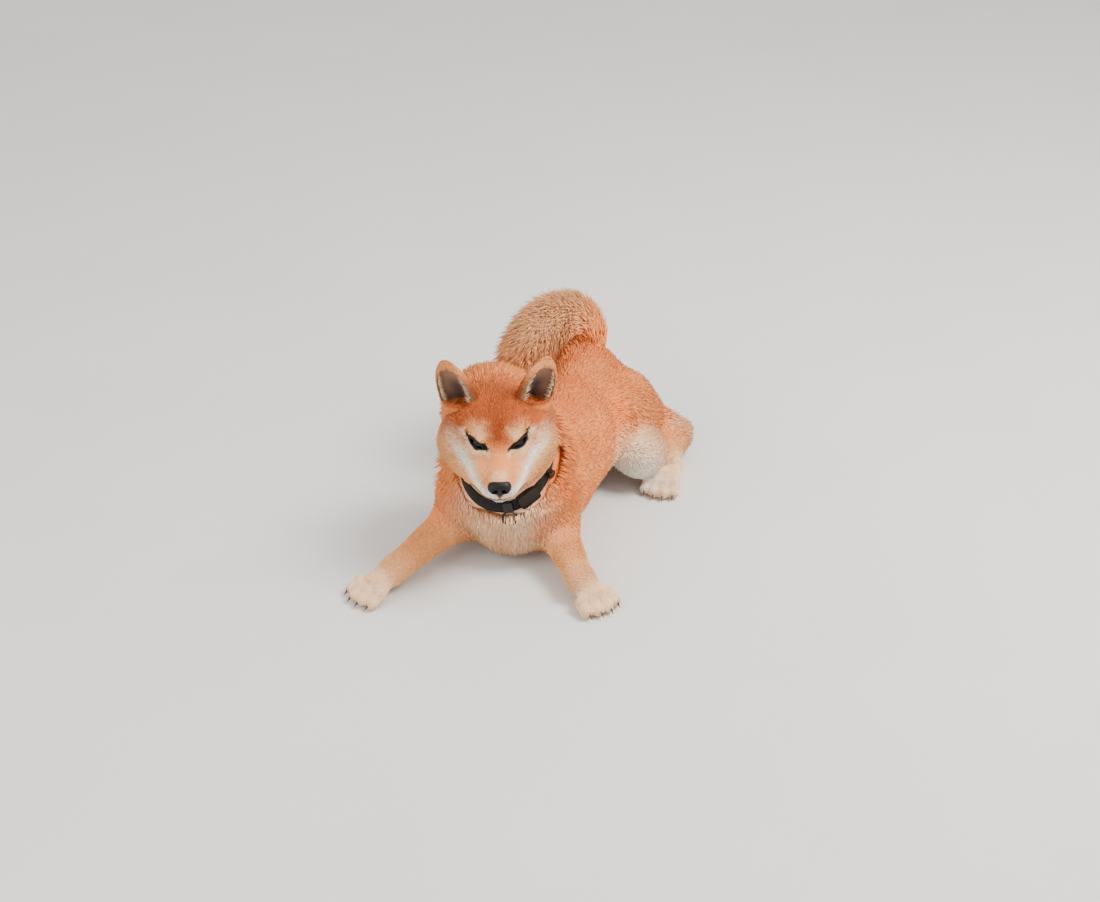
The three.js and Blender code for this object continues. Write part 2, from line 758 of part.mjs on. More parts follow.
function tailCore() {
  const stations = Array.from({ length: TAIL_STATIONS }, (_, i) => (i / (TAIL_STATIONS - 1)) * 0.97);
  const rings = stations.map((t) => tailRing(t, coreShare(t) * tailRadius(t)));
  const end = (t) => TAIL_PATH.getPointAt(t).toArray();
  return solid(loft(rings, end(0), end(0.98)));
}

// Locks: flat, tapered and bending towards the tail's tip, in rows that overlap like tiles
const LOCK_ROWS = 7;
const LOCKS_AROUND = 6;
const LOCK_WIDTH = 35;
const LOCK_THICK = 9;
const LOCK_LENGTH = 1.6; // against the coat's depth
const LOCK_ROOT = 0.26; // of the coat's depth
const LOCK_LIFT = [46, 12]; // degrees off the tail's line, at the root and at the tip
const LOCK_STATIONS = [[0, 0.7, 1], [0.34, 1, 0.9], [0.68, 0.8, 0.6]]; // along, width, thickness

let seed = 7;
function random() {
  seed = (seed * 16807) % 2147483647;
  return seed / 2147483647;
}
const vary = (amount) => 1 + amount * (2 * random() - 1);

function lock(t, angle) {
  const centre = TAIL_PATH.getPointAt(t);
  const tangent = TAIL_PATH.getTangentAt(t);
  const frame = frameAlong(centre.toArray(), tangent.toArray());
  const turned = new THREE.Matrix4().extractRotation(frame);
  const out = vec([cos(angle), 0, sin(angle)]).applyMatrix4(turned);
  const side = tangent.clone().cross(out);
  const depth = tailRadius(t);
  const length = LOCK_LENGTH * depth * vary(0.12);
  const width = LOCK_WIDTH * vary(0.15) * min(1, depth / TAIL_RADIUS + 0.1);
  const sway = 0.16 * (2 * random() - 1);
  const steps = 10;
  const along = (s) => {
    const lift = rad(lerp(...LOCK_LIFT, s));
    const ahead = out.clone().multiplyScalar(sin(lift)).addScaledVector(tangent, cos(lift));
    return ahead.addScaledVector(side, sway * s);
  };
  const at = (s) => {
    const p = centre.clone().addScaledVector(out, LOCK_ROOT * depth);
    for (let i = 0; i < steps; i++) p.addScaledVector(along((s * (i + 0.5)) / steps), (s * length) / steps);
    return p;
  };
  const rings = LOCK_STATIONS.map(([s, wide, thick]) => {
    const flat = side.clone().projectOnPlane(along(s)).normalize();
    const up = flat.clone().cross(along(s)).normalize();
    return [[1, 0], [0, 1], [-1, 0], [0, -1]].map(([a, b]) =>
      at(s)
        .addScaledVector(flat, (a * width * wide) / 2)
        .addScaledVector(up, (b * LOCK_THICK * thick) / 2)
        .toArray(),
    );
  });
  return solid(loft(rings, at(0).toArray(), at(1).toArray()));
}

function tailLocks() {
  const found = [];
  for (let row = 0; row < LOCK_ROWS; row++) {
    const t = lerp(0.16, 0.93, row / (LOCK_ROWS - 1));
    const count = row === LOCK_ROWS - 1 ? LOCKS_AROUND - 2 : LOCKS_AROUND;
    for (let i = 0; i < count; i++) {
      const angle = (2 * PI * (i + 0.5 * (row % 2) + 0.2 * (random() - 0.5))) / count;
      found.push(lock(t + 0.02 * (random() - 0.5), angle));
    }
  }
  return found;
}

// The stretch of the tail between two places along it
function tailBlock(from, to) {
  const half = 110;
  const behind = (t, side) => {
    const frame = frameAlong(TAIL_PATH.getPointAt(t).toArray(), TAIL_PATH.getTangentAt(t).toArray());
    const box = new THREE.BoxGeometry(2 * half, half, 2 * half).translate(0, (side * (half + GAP)) / 2, 0);
    return placed(box, frame);
  };
  const parts = [];
  if (from > 0) parts.push(behind(from, 1));
  if (to < 1) parts.push(behind(to, -1));
  return parts.reduce((a, b) => a.intersect(b));
}

const TAIL_CLEAR = 2.6; // the coarse faces of the back stand out this much between their corners
const regionOf = (name) => regions.find((r) => r.name === name);
const bodyGrown = ["torso", "neck"].map((name) => surfaceIn(regionOf(name), TAIL_CLEAR));
const bushy = tailLocks().reduce((m, l) => m.add(l), tailCore());
const tail = bodyGrown.reduce((m, g) => m.subtract(g), bushy);
TAIL_PARTS.forEach((name, i) => {
  const stretch = tailBlock(i ? TAIL_CUTS[i - 1] : 0, TAIL_CUTS[i] ?? 1);
  nodes.set(name, largest(tail.intersect(stretch)));
});

// Collar: a flat strap that sinks a little into the coat, with a buckle, a ring, a slide and a stud

const COLLAR_CENTRE = [-38, 153, 154];
const COLLAR_RADII = [62, 77]; // to the sides, and to the front and back
const COLLAR_YAW = 9;
const COLLAR_TILT = 39; // it hangs lower in front
const COLLAR_ROLL = 36; // and its face turns up there
const COLLAR_STATIONS = 36;
const GROOVE_DEPTH = 36; // the coat parts over the strap up to this far out
const GROOVE_BELOW = [3, 15]; // and opens this much wider away from the head, behind and in front
const GROOVE_ABOVE = [2, 20];

const collarMatrix = new THREE.Matrix4()
  .makeRotationFromEuler(new THREE.Euler(rad(COLLAR_TILT), 0, rad(COLLAR_YAW), "ZXY"))
  .setPosition(...COLLAR_CENTRE);

// A place on the strap's inner face: x along it, y up across it, z out from the neck
function collarFrame(angle) {
  const [wide, long] = COLLAR_RADII;
  const here = pointIn(collarMatrix, [wide * sin(angle), -long * cos(angle), 0]);
  const turned = new THREE.Matrix4().extractRotation(collarMatrix);
  const along = vec([wide * cos(angle), long * sin(angle), 0]).normalize().applyMatrix4(turned);
  const roll = rad(COLLAR_ROLL) * max(0, cos(angle));
  const across = vec([0, 0, 1]).applyMatrix4(turned).applyAxisAngle(along, -roll);
  return new THREE.Matrix4().makeBasis(along, across, along.clone().cross(across)).setPosition(...here);
}

function band(section) {
  const stations = Array.from({ length: COLLAR_STATIONS }, (_, i) => {
    const angle = (2 * PI * i) / COLLAR_STATIONS;
    const frame = collarFrame(angle);
    return section(angle).map(([across, out]) => pointIn(frame, [0, across, out]));
  });
  return solid(hoop(stations));
}

function strap(grow) {
  const half = COLLAR_WIDTH / 2 + grow;
  const top = COLLAR_THICK + grow;
  return band(() => [[-half, -grow], [half, -grow], [half, top], [-half, top]]);
}

function parting() {
  const half = COLLAR_WIDTH / 2 + 1;
  return band((angle) => {
    const front = THREE.MathUtils.smoothstep(cos(angle), -0.1, 0.5);
    const top = half + lerp(...GROOVE_ABOVE, front);
    const bottom = -half - lerp(...GROOVE_BELOW, front);
    return [[-half, -GAP], [half, -GAP], [top, GROOVE_DEPTH], [bottom, GROOVE_DEPTH]];
  });
}

function slab(angle, [long, wide, thick], lift, corner, grow = 0) {
  const [x, y] = [long / 2 + grow, wide / 2 + grow];
  const shape = new THREE.Shape()
    .moveTo(-x + corner, -y)
    .lineTo(x - corner, -y)
    .quadraticCurveTo(x, -y, x, -y + corner)
    .lineTo(x, y - corner)
    .quadraticCurveTo(x, y, x - corner, y)
    .lineTo(-x + corner, y)
    .quadraticCurveTo(-x, y, -x, y - corner)
    .lineTo(-x, -y + corner)
    .quadraticCurveTo(-x, -y, -x + corner, -y);
  const depth = thick + 2 * grow;
  const geometry = new THREE.ExtrudeGeometry(shape, { depth, bevelEnabled: false, curveSegments: 3 });
  return placed(geometry.translate(0, 0, lift - grow), collarFrame(angle));
}

const BUCKLE_AT = rad(40);
const BUCKLE = [32, COLLAR_WIDTH + 4, 8];
const RING_AT = rad(13);
const RING_RADIUS = 10;
const RING_WIRE = 1.7;
const SLIDE_AT = rad(74);
const SLIDE = [9, COLLAR_WIDTH + 6, 3];
const STUD_RADIUS = 5.5;

const outside = COLLAR_THICK + GAP;
const ringFrame = collarFrame(RING_AT);
const buckle = (grow) => slab(BUCKLE_AT, BUCKLE, -3, 5, grow);
const slide = (grow) => slab(SLIDE_AT, SLIDE, outside, 3, grow);
const stud = (grow) => {
  const disc = new THREE.CylinderGeometry(STUD_RADIUS + grow, STUD_RADIUS + grow, 4 + 2 * grow, 16);
  disc.rotateX(PI / 2).translate(0, 0, outside + SLIDE[2] + GAP + 2);
  return placed(disc, collarFrame(SLIDE_AT));
};
const ring = (grow) => {
  const torus = new THREE.TorusGeometry(RING_RADIUS, RING_WIRE + grow, 5, 12);
  torus.rotateX(rad(-14)).translate(0, -(COLLAR_WIDTH / 2 + RING_RADIUS - 3), outside + 4);
  return placed(torus, ringFrame).add(slab(RING_AT, [13, COLLAR_WIDTH - 2, 3], outside, 2, grow));
};

const FITTINGS = {
  collar: strap,
  collar_buckle: buckle,
  collar_ring: ring,
  collar_slide: slide,
  collar_stud: stud,
};
const COLLARED = ["head", "neck", "torso", "upper_arm_left", "upper_arm_right"];
const HEAD_STEP = 11;
const HEAD_CLEAR = 3; // flesh that stays over the jaw and cheeks
const headGrid = [[-96, 96], [-12, 190], [-80, 92]].map(([lo, hi]) => ticks(lo, hi, HEAD_STEP));
const headAlone = placed(surfaceNet((x, y, z) => headField(x, y, z) - HEAD_CLEAR, headGrid), headMatrix);
for (const flesh of COLLARED) cut(flesh, flesh === "head" ? parting().subtract(headAlone) : parting());
for (const [name, make] of Object.entries(FITTINGS)) {
  const grown = make(GAP);
  for (const flesh of COLLARED) cut(flesh, grown);
  if (name === "collar_buckle") cut("collar", grown);
  nodes.set(name, make(0));
}

// Claws, each in a socket at the end of its toe

const CLAW_LENGTH = 12;
const CLAW_RADIUS = 3.1;
const CLAW_SIDES = 5;

function clawShape(tip, matrix, grow) {
  const along = vec([matrix.elements[4], matrix.elements[5], 0]).normalize();
  const root = plus(tip, [along.x * 2, along.y * 2, 2.4]);
  const end = plus(root, [along.x * CLAW_LENGTH, along.y * CLAW_LENGTH, 3.4 - root[2]]);
  const rings = [0, 0.55].map((t) => {
    const middle = plus(mix(root, end, t), [0, 0, 5 * t * (1 - t)]);
    const frame = frameAlong(middle, plus(end, root, -1));
    const radius = CLAW_RADIUS * (1 - 0.62 * t) + grow;
    return Array.from({ length: CLAW_SIDES }, (_, s) => {
      const a = (2 * PI * s) / CLAW_SIDES;
      return pointIn(frame, [0.8 * radius * cos(a), 0, radius * sin(a)]);
    });
  });
  const back = plus(root, [-along.x * grow, -along.y * grow, 0]);
  return solid(loft(rings, back, end));
}

for (const [paw, { fan, matrix }] of Object.entries(paws))
  fan.forEach(({ tip }, i) => {
    cut(paw, clawShape(tip, matrix, GAP));
    nodes.set(`claw_${paw.replace(/^(paw|foot)_/, "")}_${i + 1}`, clawShape(tip, matrix, 0));
  });

// Each node as a mesh, with edges too short to matter drawn together

const SHORT = 0.08;

function meshOf(manifold) {
  const { vertProperties, triVerts } = manifold.getMesh();
  const point = (i) => [0, 1, 2].map((a) => vertProperties[3 * i + a]);
  const owner = Array.from({ length: vertProperties.length / 3 }, (_, i) => i);
  const find = (i) => (owner[i] === i ? i : (owner[i] = find(owner[i])));
  for (let i = 0; i < triVerts.length; i++) {
    const next = i % 3 === 2 ? i - 2 : i + 1;
    const [a, b] = [find(triVerts[i]), find(triVerts[next])];
    if (a !== b && hypot(...plus(point(a), point(b), -1)) < SHORT) owner[max(a, b)] = min(a, b);
  }
  const faces = [];
  for (let i = 0; i < triVerts.length; i += 3) {
    const face = [triVerts[i], triVerts[i + 1], triVerts[i + 2]].map(find);
    if (new Set(face).size === 3) faces.push(face);
  }
  return bare(geometryOf(owner.map((_, i) => point(i)), faces).toNonIndexed());
}

const MATERIALS = Object.fromEntries(
  Object.entries(COLOURS).map(([name, colour]) => [
    name,
    new THREE.MeshStandardMaterial({ color: colour, roughness: 0.85, metalness: 0 }),
  ]),
);

const FINISHES = [
  [/^claw/, "claw"],
  [/^eye/, "eye"],
  [/^nose/, "black"],
  [/^collar_(ring|stud)/, "metal"],
  [/^collar/, "strap"],
  [/^paw/, "cream"],
];
const finishOf = (name) => FINISHES.find(([pattern]) => pattern.test(name))?.[1] ?? "red";

const shiba = new THREE.Group();
for (const [name, manifold] of nodes) {
  const made = new THREE.Mesh(meshOf(manifold), MATERIALS[finishOf(name)]);
  made.name = name;
  shiba.add(made);
}

// The part's origin is on the floor, under the middle of its box
const size = new THREE.Box3().setFromObject(shiba);
const middle = size.getCenter(new THREE.Vector3());
shiba.position.set(-middle.x, -middle.y, 0);

export default shiba;
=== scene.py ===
import math

import bpy
import numpy as np
from mathutils import Matrix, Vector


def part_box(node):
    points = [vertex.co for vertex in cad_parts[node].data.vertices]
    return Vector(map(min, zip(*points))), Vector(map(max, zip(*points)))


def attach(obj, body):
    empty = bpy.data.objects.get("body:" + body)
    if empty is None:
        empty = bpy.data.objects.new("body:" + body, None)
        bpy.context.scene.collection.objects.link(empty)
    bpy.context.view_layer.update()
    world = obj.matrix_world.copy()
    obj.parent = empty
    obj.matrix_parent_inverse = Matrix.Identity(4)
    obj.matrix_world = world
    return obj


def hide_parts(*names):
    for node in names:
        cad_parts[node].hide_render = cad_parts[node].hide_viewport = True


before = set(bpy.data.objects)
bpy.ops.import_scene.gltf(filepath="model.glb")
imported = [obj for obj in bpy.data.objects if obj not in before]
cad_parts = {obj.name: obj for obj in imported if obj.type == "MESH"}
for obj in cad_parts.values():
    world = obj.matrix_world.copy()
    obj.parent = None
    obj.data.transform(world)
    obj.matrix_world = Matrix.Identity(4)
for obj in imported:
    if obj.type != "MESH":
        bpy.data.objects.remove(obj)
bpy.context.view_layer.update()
rng = np.random.default_rng(11)

sin, cos, rad, pi = math.sin, math.cos, math.radians, math.pi


def arr(*v):
    return np.array(v, float)


def unit(v):
    v = np.asarray(v, float)
    return v / np.maximum(np.linalg.norm(v, axis=-1, keepdims=True), 1e-9)


def lerp(a, b, t):
    return a + (b - a) * t


def ramp(x, lo, hi):
    t = np.clip((x - lo) / (hi - lo), 0, 1)
    return t * t * (3 - 2 * t)


def turn_x(a):
    return arr([1, 0, 0], [0, cos(a), -sin(a)], [0, sin(a), cos(a)])


def turn_z(a):
    return arr([cos(a), -sin(a), 0], [sin(a), cos(a), 0], [0, 0, 1])


# The solids that shape the flesh, the same as in the part's source
NOSE_TIP = arr(4, 23, 183)
HEAD_TURN = turn_z(rad(23)) @ turn_x(rad(9))
CHEEK = 81
EYE_RADIUS, LID = 10.5, 2.4
EYE = (29, 34)
EYE_SLIT = (31, 9.0)
EYE_SLANT = 27
CHEST_HEADING = 13
CHEST_CENTRE = (-38, 160)
RUMP_X = -14
TAIL_RADIUS = 36
COLLAR_CENTRE = arr(-38, 153, 154)
COLLAR_RADII = (62, 77)
COLLAR_TURN = turn_z(rad(9)) @ turn_x(rad(39))
COLLAR_WIDTH, COLLAR_THICK = 18, 3.2
COLLAR_ROLL = rad(36)  # its face turns up in front
COLLAR_STATIONS = 36
GROOVE_DEPTH, GROOVE_BELOW, GROOVE_ABOVE = 36, (3, 15), (2, 20)


def from_head(p):
    return np.asarray(p, float) @ HEAD_TURN.T + NOSE_TIP


def to_head(p):
    return (np.asarray(p, float) - NOSE_TIP) @ HEAD_TURN


def mix(p, q, t):
    return lerp(np.asarray(p, float), np.asarray(q, float), t)


def ball(c, r, k, tag, flow):
    return dict(kind="ball", c=arr(*c), r=arr(*r), k=k, tag=tag, flow=unit(flow))


def taper(a, b, r0, r1, k, tag, flow=None):
    a, b = arr(*a), arr(*b)
    flow = unit(b - a if flow is None else flow)
    return dict(kind="taper", a=a, b=b, r0=r0, r1=r1, k=k, tag=tag, flow=flow)


def mirrored(p):
    m = arr(-1, 1, 1)
    return [p, {**p, **{key: p[key] * m for key in ("c", "a", "b", "flow") if key in p}}]


def distance(p, x):
    if p["kind"] == "ball":
        d = (x - p["c"]) / p["r"]
        k0 = np.sqrt((d * d).sum(-1))
        k1 = np.sqrt(((d / p["r"]) ** 2).sum(-1))
        return k0 * (k0 - 1) / np.maximum(k1, 1e-6)
    ab = p["b"] - p["a"]
    t = np.clip(((x - p["a"]) @ ab) / (ab @ ab), 0, 1)
    return np.linalg.norm(x - p["a"] - t[..., None] * ab, axis=-1) - lerp(p["r0"], p["r1"], t)


def smooth_min(a, b, k):
    h = np.maximum(k - np.abs(a - b), 0) / k
    return np.minimum(a, b) - h * h * k / 4


def blended(prims, x):
    d = np.full(x.shape[:-1], 1e6)
    for p in prims:
        d = smooth_min(d, distance(p, x), p["k"])
    return d


head_prims = [
    ball([0, 112, 20], [60, 60, 52], 10, "crown", [0, 1, 0.1]),
    ball([0, 84, 24], [42, 34, 30], 22, "brow", [0, 1, 0.5]),
    *mirrored(ball([CHEEK - 38, 104, -3], [38, 42, 41], 22, "cheek", [0.7, 0.75, -0.35])),
    *mirrored(ball([34, 78, -16], [24, 28, 26], 20, "cheek", [0.75, 0.7, -0.3])),
    *mirrored(taper([10, 22, -10], [20, 64, -6], 16, 26, 14, "muzzle", [0.25, 1, -0.15])),
    taper([0, 17, 2], [0, 66, 19], 10.5, 16, 12, "bridge"),
    taper([0, 21, -26], [0, 74, -34], 11, 26, 6, "chin", [0, 1, -0.2]),
    *mirrored(taper([11, 28, -18], [24, 60, -22], 13, 20, 10, "muzzle", [0.3, 1, -0.25])),
    ball([0, 106, -36], [54, 42, 24], 20, "throat", [0, 0.7, -0.7]),
]

heading = arr(sin(rad(CHEST_HEADING)), -cos(rad(CHEST_HEADING)))


def chest_point(left, forward, z):
    return arr(
        CHEST_CENTRE[0] - heading[1] * left + heading[0] * forward,
        CHEST_CENTRE[1] + heading[0] * left + heading[1] * forward,
        z,
    )


NECK_BASE, NECK_TOP = chest_point(0, -14, 138), from_head([0, 142, -2])
DOWN = [0.05, 0.1, -1]
trunk_prims = [
    ball([-20, 222, 78], [84, 112, 84], 20, "flank", [0, 1, -0.25]),
    ball(chest_point(0, -28, 128), [54, 74, 60], 30, "withers", [0, 1, -0.25]),
    ball(chest_point(0, 31, 66), [64, 40, 52], 30, "chest", DOWN),
    ball([-14, 325, 74], [78, 108, 76], 30, "flank", [0, 1, -0.2]),
    ball([-14, 350, 108], [56, 100, 64], 30, "back", [0, 1, -0.1]),
    ball([RUMP_X, 420, 116], [60, 72, 64], 30, "back", [0, 1, -0.3]),
    ball([RUMP_X, 446, 78], [66, 44, 62], 30, "breech", [0, 0.5, -1]),
]
neck_prims = [
    taper(NECK_BASE, NECK_TOP, 68, 60, 30, "neck", unit(NECK_BASE - NECK_TOP) + arr(0, 0.25, -0.2)),
    ball(chest_point(0, -18, 150), [82, 62, 54], 26, "neck", [0, 0.5, -0.8]),
    ball(from_head([0, 156, -4]), [76, 56, 72], 26, "neck", [0, 0.7, -0.7]),
    ball(chest_point(-66, -12, 124), [22, 40, 40], 20, "neck", [0, 0.5, -0.8]),
]

FORELEGS = {
    "left": dict(elbow=arr(30, 160, 46), wrist=arr(99, 74, 28), toes=arr(150, 40, 0), side=1),
    "right": dict(elbow=arr(-104, 128, 48), wrist=arr(-147, 10, 28), toes=arr(-184, -54, 0), side=-1),
}
SHOULDERS = {"left": chest_point(50, 16, 92), "right": chest_point(-52, 16, 92)}


def foreleg_prims(name):
    s, e, w = SHOULDERS[name], FORELEGS[name]["elbow"], FORELEGS[name]["wrist"]
    point = mix(e, w, -0.14) - arr(0, 0, 2)
    return [
        ball(mix(s, e, 0.15), [42, 46, 42], 20, "arm", [0, 0.35, -1]),
        taper(s, e, 40, 32, 20, "arm", [0, 0.35, -1]),
        ball(point, [24, 26, 26], 20, "arm", w - e),
        taper(e, w, 30, 19, 18, "forearm"),
    ]


HIND = dict(hip=arr(42, 430, 94), knee=arr(92, 366, 54), hock=arr(116, 474, 30), toes=arr(130, 330, 0))


def across_rump(p):
    return arr(2 * RUMP_X - p[0], p[1], p[2])


HINDLEGS = {"left": dict(HIND, side=1), "right": dict({k: across_rump(v) for k, v in HIND.items()}, side=-1)}


def hindleg_prims(leg):
    hip, knee, hock, side = leg["hip"], leg["knee"], leg["hock"], leg["side"]
    return [
        ball(mix(hip, knee, 0.2), [36, 60, 54], 28, "thigh", [0, 0.45, -1]),
        taper(hip, knee, 46, 32, 26, "thigh", [0, 0.45, -1]),
        taper(knee, hock, 32, 18, 18, "shank"),
        taper(mix(hip, hock, 0.35), hock + arr(0, -2, 8), 34, 19, 22, "breech", [0, 0.6, -0.9]),
        taper(hock, hock + arr(side * 4, 12, 12), 17, 10, 14, "shank", [0, 0, -1]),
    ]


FOREPAW_WIDTH, HINDPAW_WIDTH = 50, 46
INSTEP, TOE_RADIUS, OUTER_TOE_BACK = 17, 9.6, 5.5


def paw_prims(leg, width, fore):
    root = leg["wrist"] if fore else arr(leg["hock"][0], leg["hock"][1], 20)
    run = leg["toes"][:2] - root[:2]
    reach = np.linalg.norm(run)
    y = arr(*(run / reach), 0)
    x = arr(y[1], -y[0], 0)
    origin = arr(root[0], root[1], 0)
    at = lambda across, along, z: origin + across * x + along * y + arr(0, 0, z)
    found = [
        taper(root, at(0, reach * 0.45, INSTEP), 18.5, 17.5, 14, "foot"),
        ball(at(0, reach * 0.5, 9), [width * 0.36, width * 0.36, 11], 8, "foot", y),
    ]
    for i in (-1.5, -0.5, 0.5, 1.5):
        long = reach - TOE_RADIUS - abs(i) * OUTER_TOE_BACK + (0 if i * leg["side"] > 0 else 1)
        knuckle = at(i * width * 0.27, long - 14, INSTEP - 2)
        tip = at(i * width * 0.31, long, TOE_RADIUS - 0.6)
        found += [
            taper(at(i * width * 0.2, reach * 0.42, INSTEP), knuckle, 9, TOE_RADIUS, 5, "toe"),
            taper(knuckle, tip, TOE_RADIUS, TOE_RADIUS - 0.4, 3, "toe", y + arr(0, 0, -0.5)),
        ]
    return found


# The tail's path, as a centripetal curve through its points
TAIL_ROOT, TAIL_BEND, TAIL_TIP = [-18, 436, 130], [-27, 464, 170], [-85, 312, 194]
TAIL_CURL = [-40, 462, 200], [-58, 436, 219], [-71, 392, 223], [-80, 350, 212]
TAIL_POINTS = arr(TAIL_ROOT, TAIL_BEND, *TAIL_CURL, TAIL_TIP)
TAIL_LENGTHS = 24


def curve_through(points, count):
    """Points evenly spaced by length along a centripetal Catmull-Rom curve."""
    p = np.vstack([2 * points[0] - points[1], points, 2 * points[-1] - points[-2]])
    out = []
    for i in range(1, len(p) - 2):
        spans = np.linalg.norm(np.diff(p[i - 1 : i + 3], axis=0), axis=1)
        t = np.concatenate([[0], np.cumsum(np.sqrt(spans))])
        for u in np.linspace(t[1], t[2], 30, endpoint=i == len(p) - 3):
            level = list(p[i - 1 : i + 3])
            for m in (1, 2):
                level = [
                    (level[j] * (t[j + m] - u) + level[j + 1] * (u - t[j])) / (t[j + m] - t[j])
                    for j in range(4 - m)
                ]
            out.append((level[0] * (t[2] - u) + level[1] * (u - t[1])) / (t[2] - t[1]))
    out = np.array(out)
    s = np.concatenate([[0], np.cumsum(np.linalg.norm(np.diff(out, axis=0), axis=1))])
    want = np.linspace(0, s[-1], count)
    return np.stack([np.interp(want, s, out[:, a]) for a in range(3)], 1)


def tail_radius(t):
    filling = min(0.66 + 1.2 * max(0, t - 0.18), 1)
    closing = math.sqrt(max(0, 1 - max(0, (t - 0.6) / 0.42) ** 2.4))
    return TAIL_RADIUS * filling * closing


def core_share(t):
    return lerp(1, 0.5, float(ramp(t, 0.2, 0.5)))


TAIL_LINE = curve_through(TAIL_POINTS, TAIL_LENGTHS + 1)


def tail_prims():
    found = []
    for i in range(TAIL_LENGTHS):
        t, u = i / TAIL_LENGTHS, (i + 1) / TAIL_LENGTHS
        r0, r1 = (max(6, core_share(v) * tail_radius(v)) for v in (t, u))
        tag = "dock" if u < 0.3 else "tail"
        found.append(taper(TAIL_LINE[i], TAIL_LINE[i + 1], r0, r1, 10, tag))
    # the fur that fills the hollow between the root and the curl
    return found + [ball([-44, 432, 172], [20, 26, 20], 14, "dock", [-0.3, -0.6, 0.7])]


body_prims = [
    *trunk_prims,
    *neck_prims,
    *[p for name in FORELEGS for p in foreleg_prims(name)],
    *[p for leg in HINDLEGS.values() for p in hindleg_prims(leg)],
    *[p for leg in FORELEGS.values() for p in paw_prims(leg, FOREPAW_WIDTH, True)],
    *[p for leg in HINDLEGS.values() for p in paw_prims(leg, HINDPAW_WIDTH, False)],
    *tail_prims(),
]
HEAD_BLEND = 16


def first_hit(field, start, direction):
    p = arr(*start)
    for _ in range(400):
        d = float(field(p[None])[0])
        if d < 0.02:
            break
        p = p + arr(*direction) * max(0.05, d * 0.6)
    return p


def slope_of(field, x, e=0.5):
    g = np.stack([field(x + e * a) - field(x - e * a) for a in np.eye(3)], -1)
    return g / (2 * e)


def head_only(x):
    return blended(head_prims, x)


# Eyes: centre and axes in the head's frame
def eye_frame(side):
    front = first_hit(head_only, [side * EYE[0], -40, EYE[1]], [0, 1, 0])
    out = unit(slope_of(head_only, front[None])[0])
    centre = front - out * (EYE_RADIUS - 2)
    slant = rad(EYE_SLANT) * side
    z = arr(-sin(slant), 0, cos(slant))
    x = unit(np.cross(out, z))
    return dict(centre=centre, out=out, x=x, up=unit(np.cross(x, out)), side=side)


EYES = {"left": eye_frame(1), "right": eye_frame(-1)}


def eye_local(eye, x):
    d = x - eye["centre"]
    return d @ eye["x"], d @ eye["up"], d @ eye["out"]


def slit_field(eye, x):
    u, v, w = eye_local(eye, x)
    half = EYE_SLIT[0] / 2
    edge = EYE_SLIT[1] / 2 * (1 - np.clip(np.abs(u) / half, 0, 1.5) ** 2)
    return np.maximum(np.abs(v) - edge, -w - 2)


# Mouth
def mouth_points():
    front = lambda x, z: first_hit(head_only, [x, -40, z], [0, 1, 0])
    sideways = lambda y, z: first_hit(head_only, [70, y, z], [-1, 0, 0])
    half = [front(3, -28), front(10, -26), sideways(22, -24), sideways(34, -26), sideways(48, -30)]
    other = [p * arr(-1, 1, 1) for p in reversed(half)]
    return curve_through(np.array([*other, front(0, -26), *half]), 41)


MOUTH = mouth_points()


def line_distance(line, x):
    best = np.full(x.shape[:-1], 1e6)
    for a, b in zip(line[:-1], line[1:]):
        ab = b - a
        t = np.clip(((x - a) @ ab) / (ab @ ab), 0, 1)
        best = np.minimum(best, np.linalg.norm(x - a - t[..., None] * ab, axis=-1))
    return best


# Collar
def collar_local(x):
    q = (x - COLLAR_CENTRE) @ COLLAR_TURN
    k = np.sqrt((q[..., 0] / COLLAR_RADII[0]) ** 2 + (q[..., 1] / COLLAR_RADII[1]) ** 2)
    g = np.sqrt((q[..., 0] / COLLAR_RADII[0] ** 2) ** 2 + (q[..., 1] / COLLAR_RADII[1] ** 2) ** 2)
    out, up = k * (k - 1) / np.maximum(g, 1e-6), q[..., 2]
    angle = np.arctan2(q[..., 0] / COLLAR_RADII[0], -q[..., 1] / COLLAR_RADII[1])
    roll = COLLAR_ROLL * np.maximum(0, np.cos(angle))
    return out * np.cos(roll) + up * np.sin(roll), up * np.cos(roll) - out * np.sin(roll), angle


def parting_field(x):
    """The wedge that the coat leaves open over the strap, wider in front."""
    out, up, angle = collar_local(x)
    s = np.clip(out, 0, 60) / GROOVE_DEPTH
    front = ramp(np.cos(angle), -0.1, 0.5)
    half = COLLAR_WIDTH / 2 + 0.5
    above = up - half - lerp(*GROOVE_ABOVE, front) * s
    below = -up - half - lerp(*GROOVE_BELOW, front) * s
    return np.maximum(-out - 0.3, np.maximum(above, below))


def strap_field(x):
    out, up, _ = collar_local(x)
    return np.maximum(np.maximum(-out - 0.3, out - 9), np.abs(up) - COLLAR_WIDTH / 2 - 0.6)


def collar_frame(angle):
    wide, long = COLLAR_RADII
    here = arr(wide * sin(angle), -long * cos(angle), 0) @ COLLAR_TURN.T + COLLAR_CENTRE
    along = unit(arr(wide * cos(angle), long * sin(angle), 0)) @ COLLAR_TURN.T
    up, roll = COLLAR_TURN[:, 2], COLLAR_ROLL * max(0, cos(angle))
    across = up * cos(roll) + np.cross(up, along) * sin(roll)
    return here, along, across, np.cross(along, across)


# Where the dog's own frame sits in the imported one: both know the strap's box
def strap_corners():
    found = []
    for i in range(COLLAR_STATIONS):
        here, _, across, out = collar_frame(2 * pi * i / COLLAR_STATIONS)
        for a in (-COLLAR_WIDTH / 2, COLLAR_WIDTH / 2):
            for o in (0, COLLAR_THICK):
                found.append(here + a * across + o * out)
    return np.array(found)


corners = strap_corners()
low, high = (np.array(v) * 1000 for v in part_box("collar"))
OFFSET = ((low - corners.min(0)) + (high - corners.max(0))) / 2
OFFSET[2] = 0


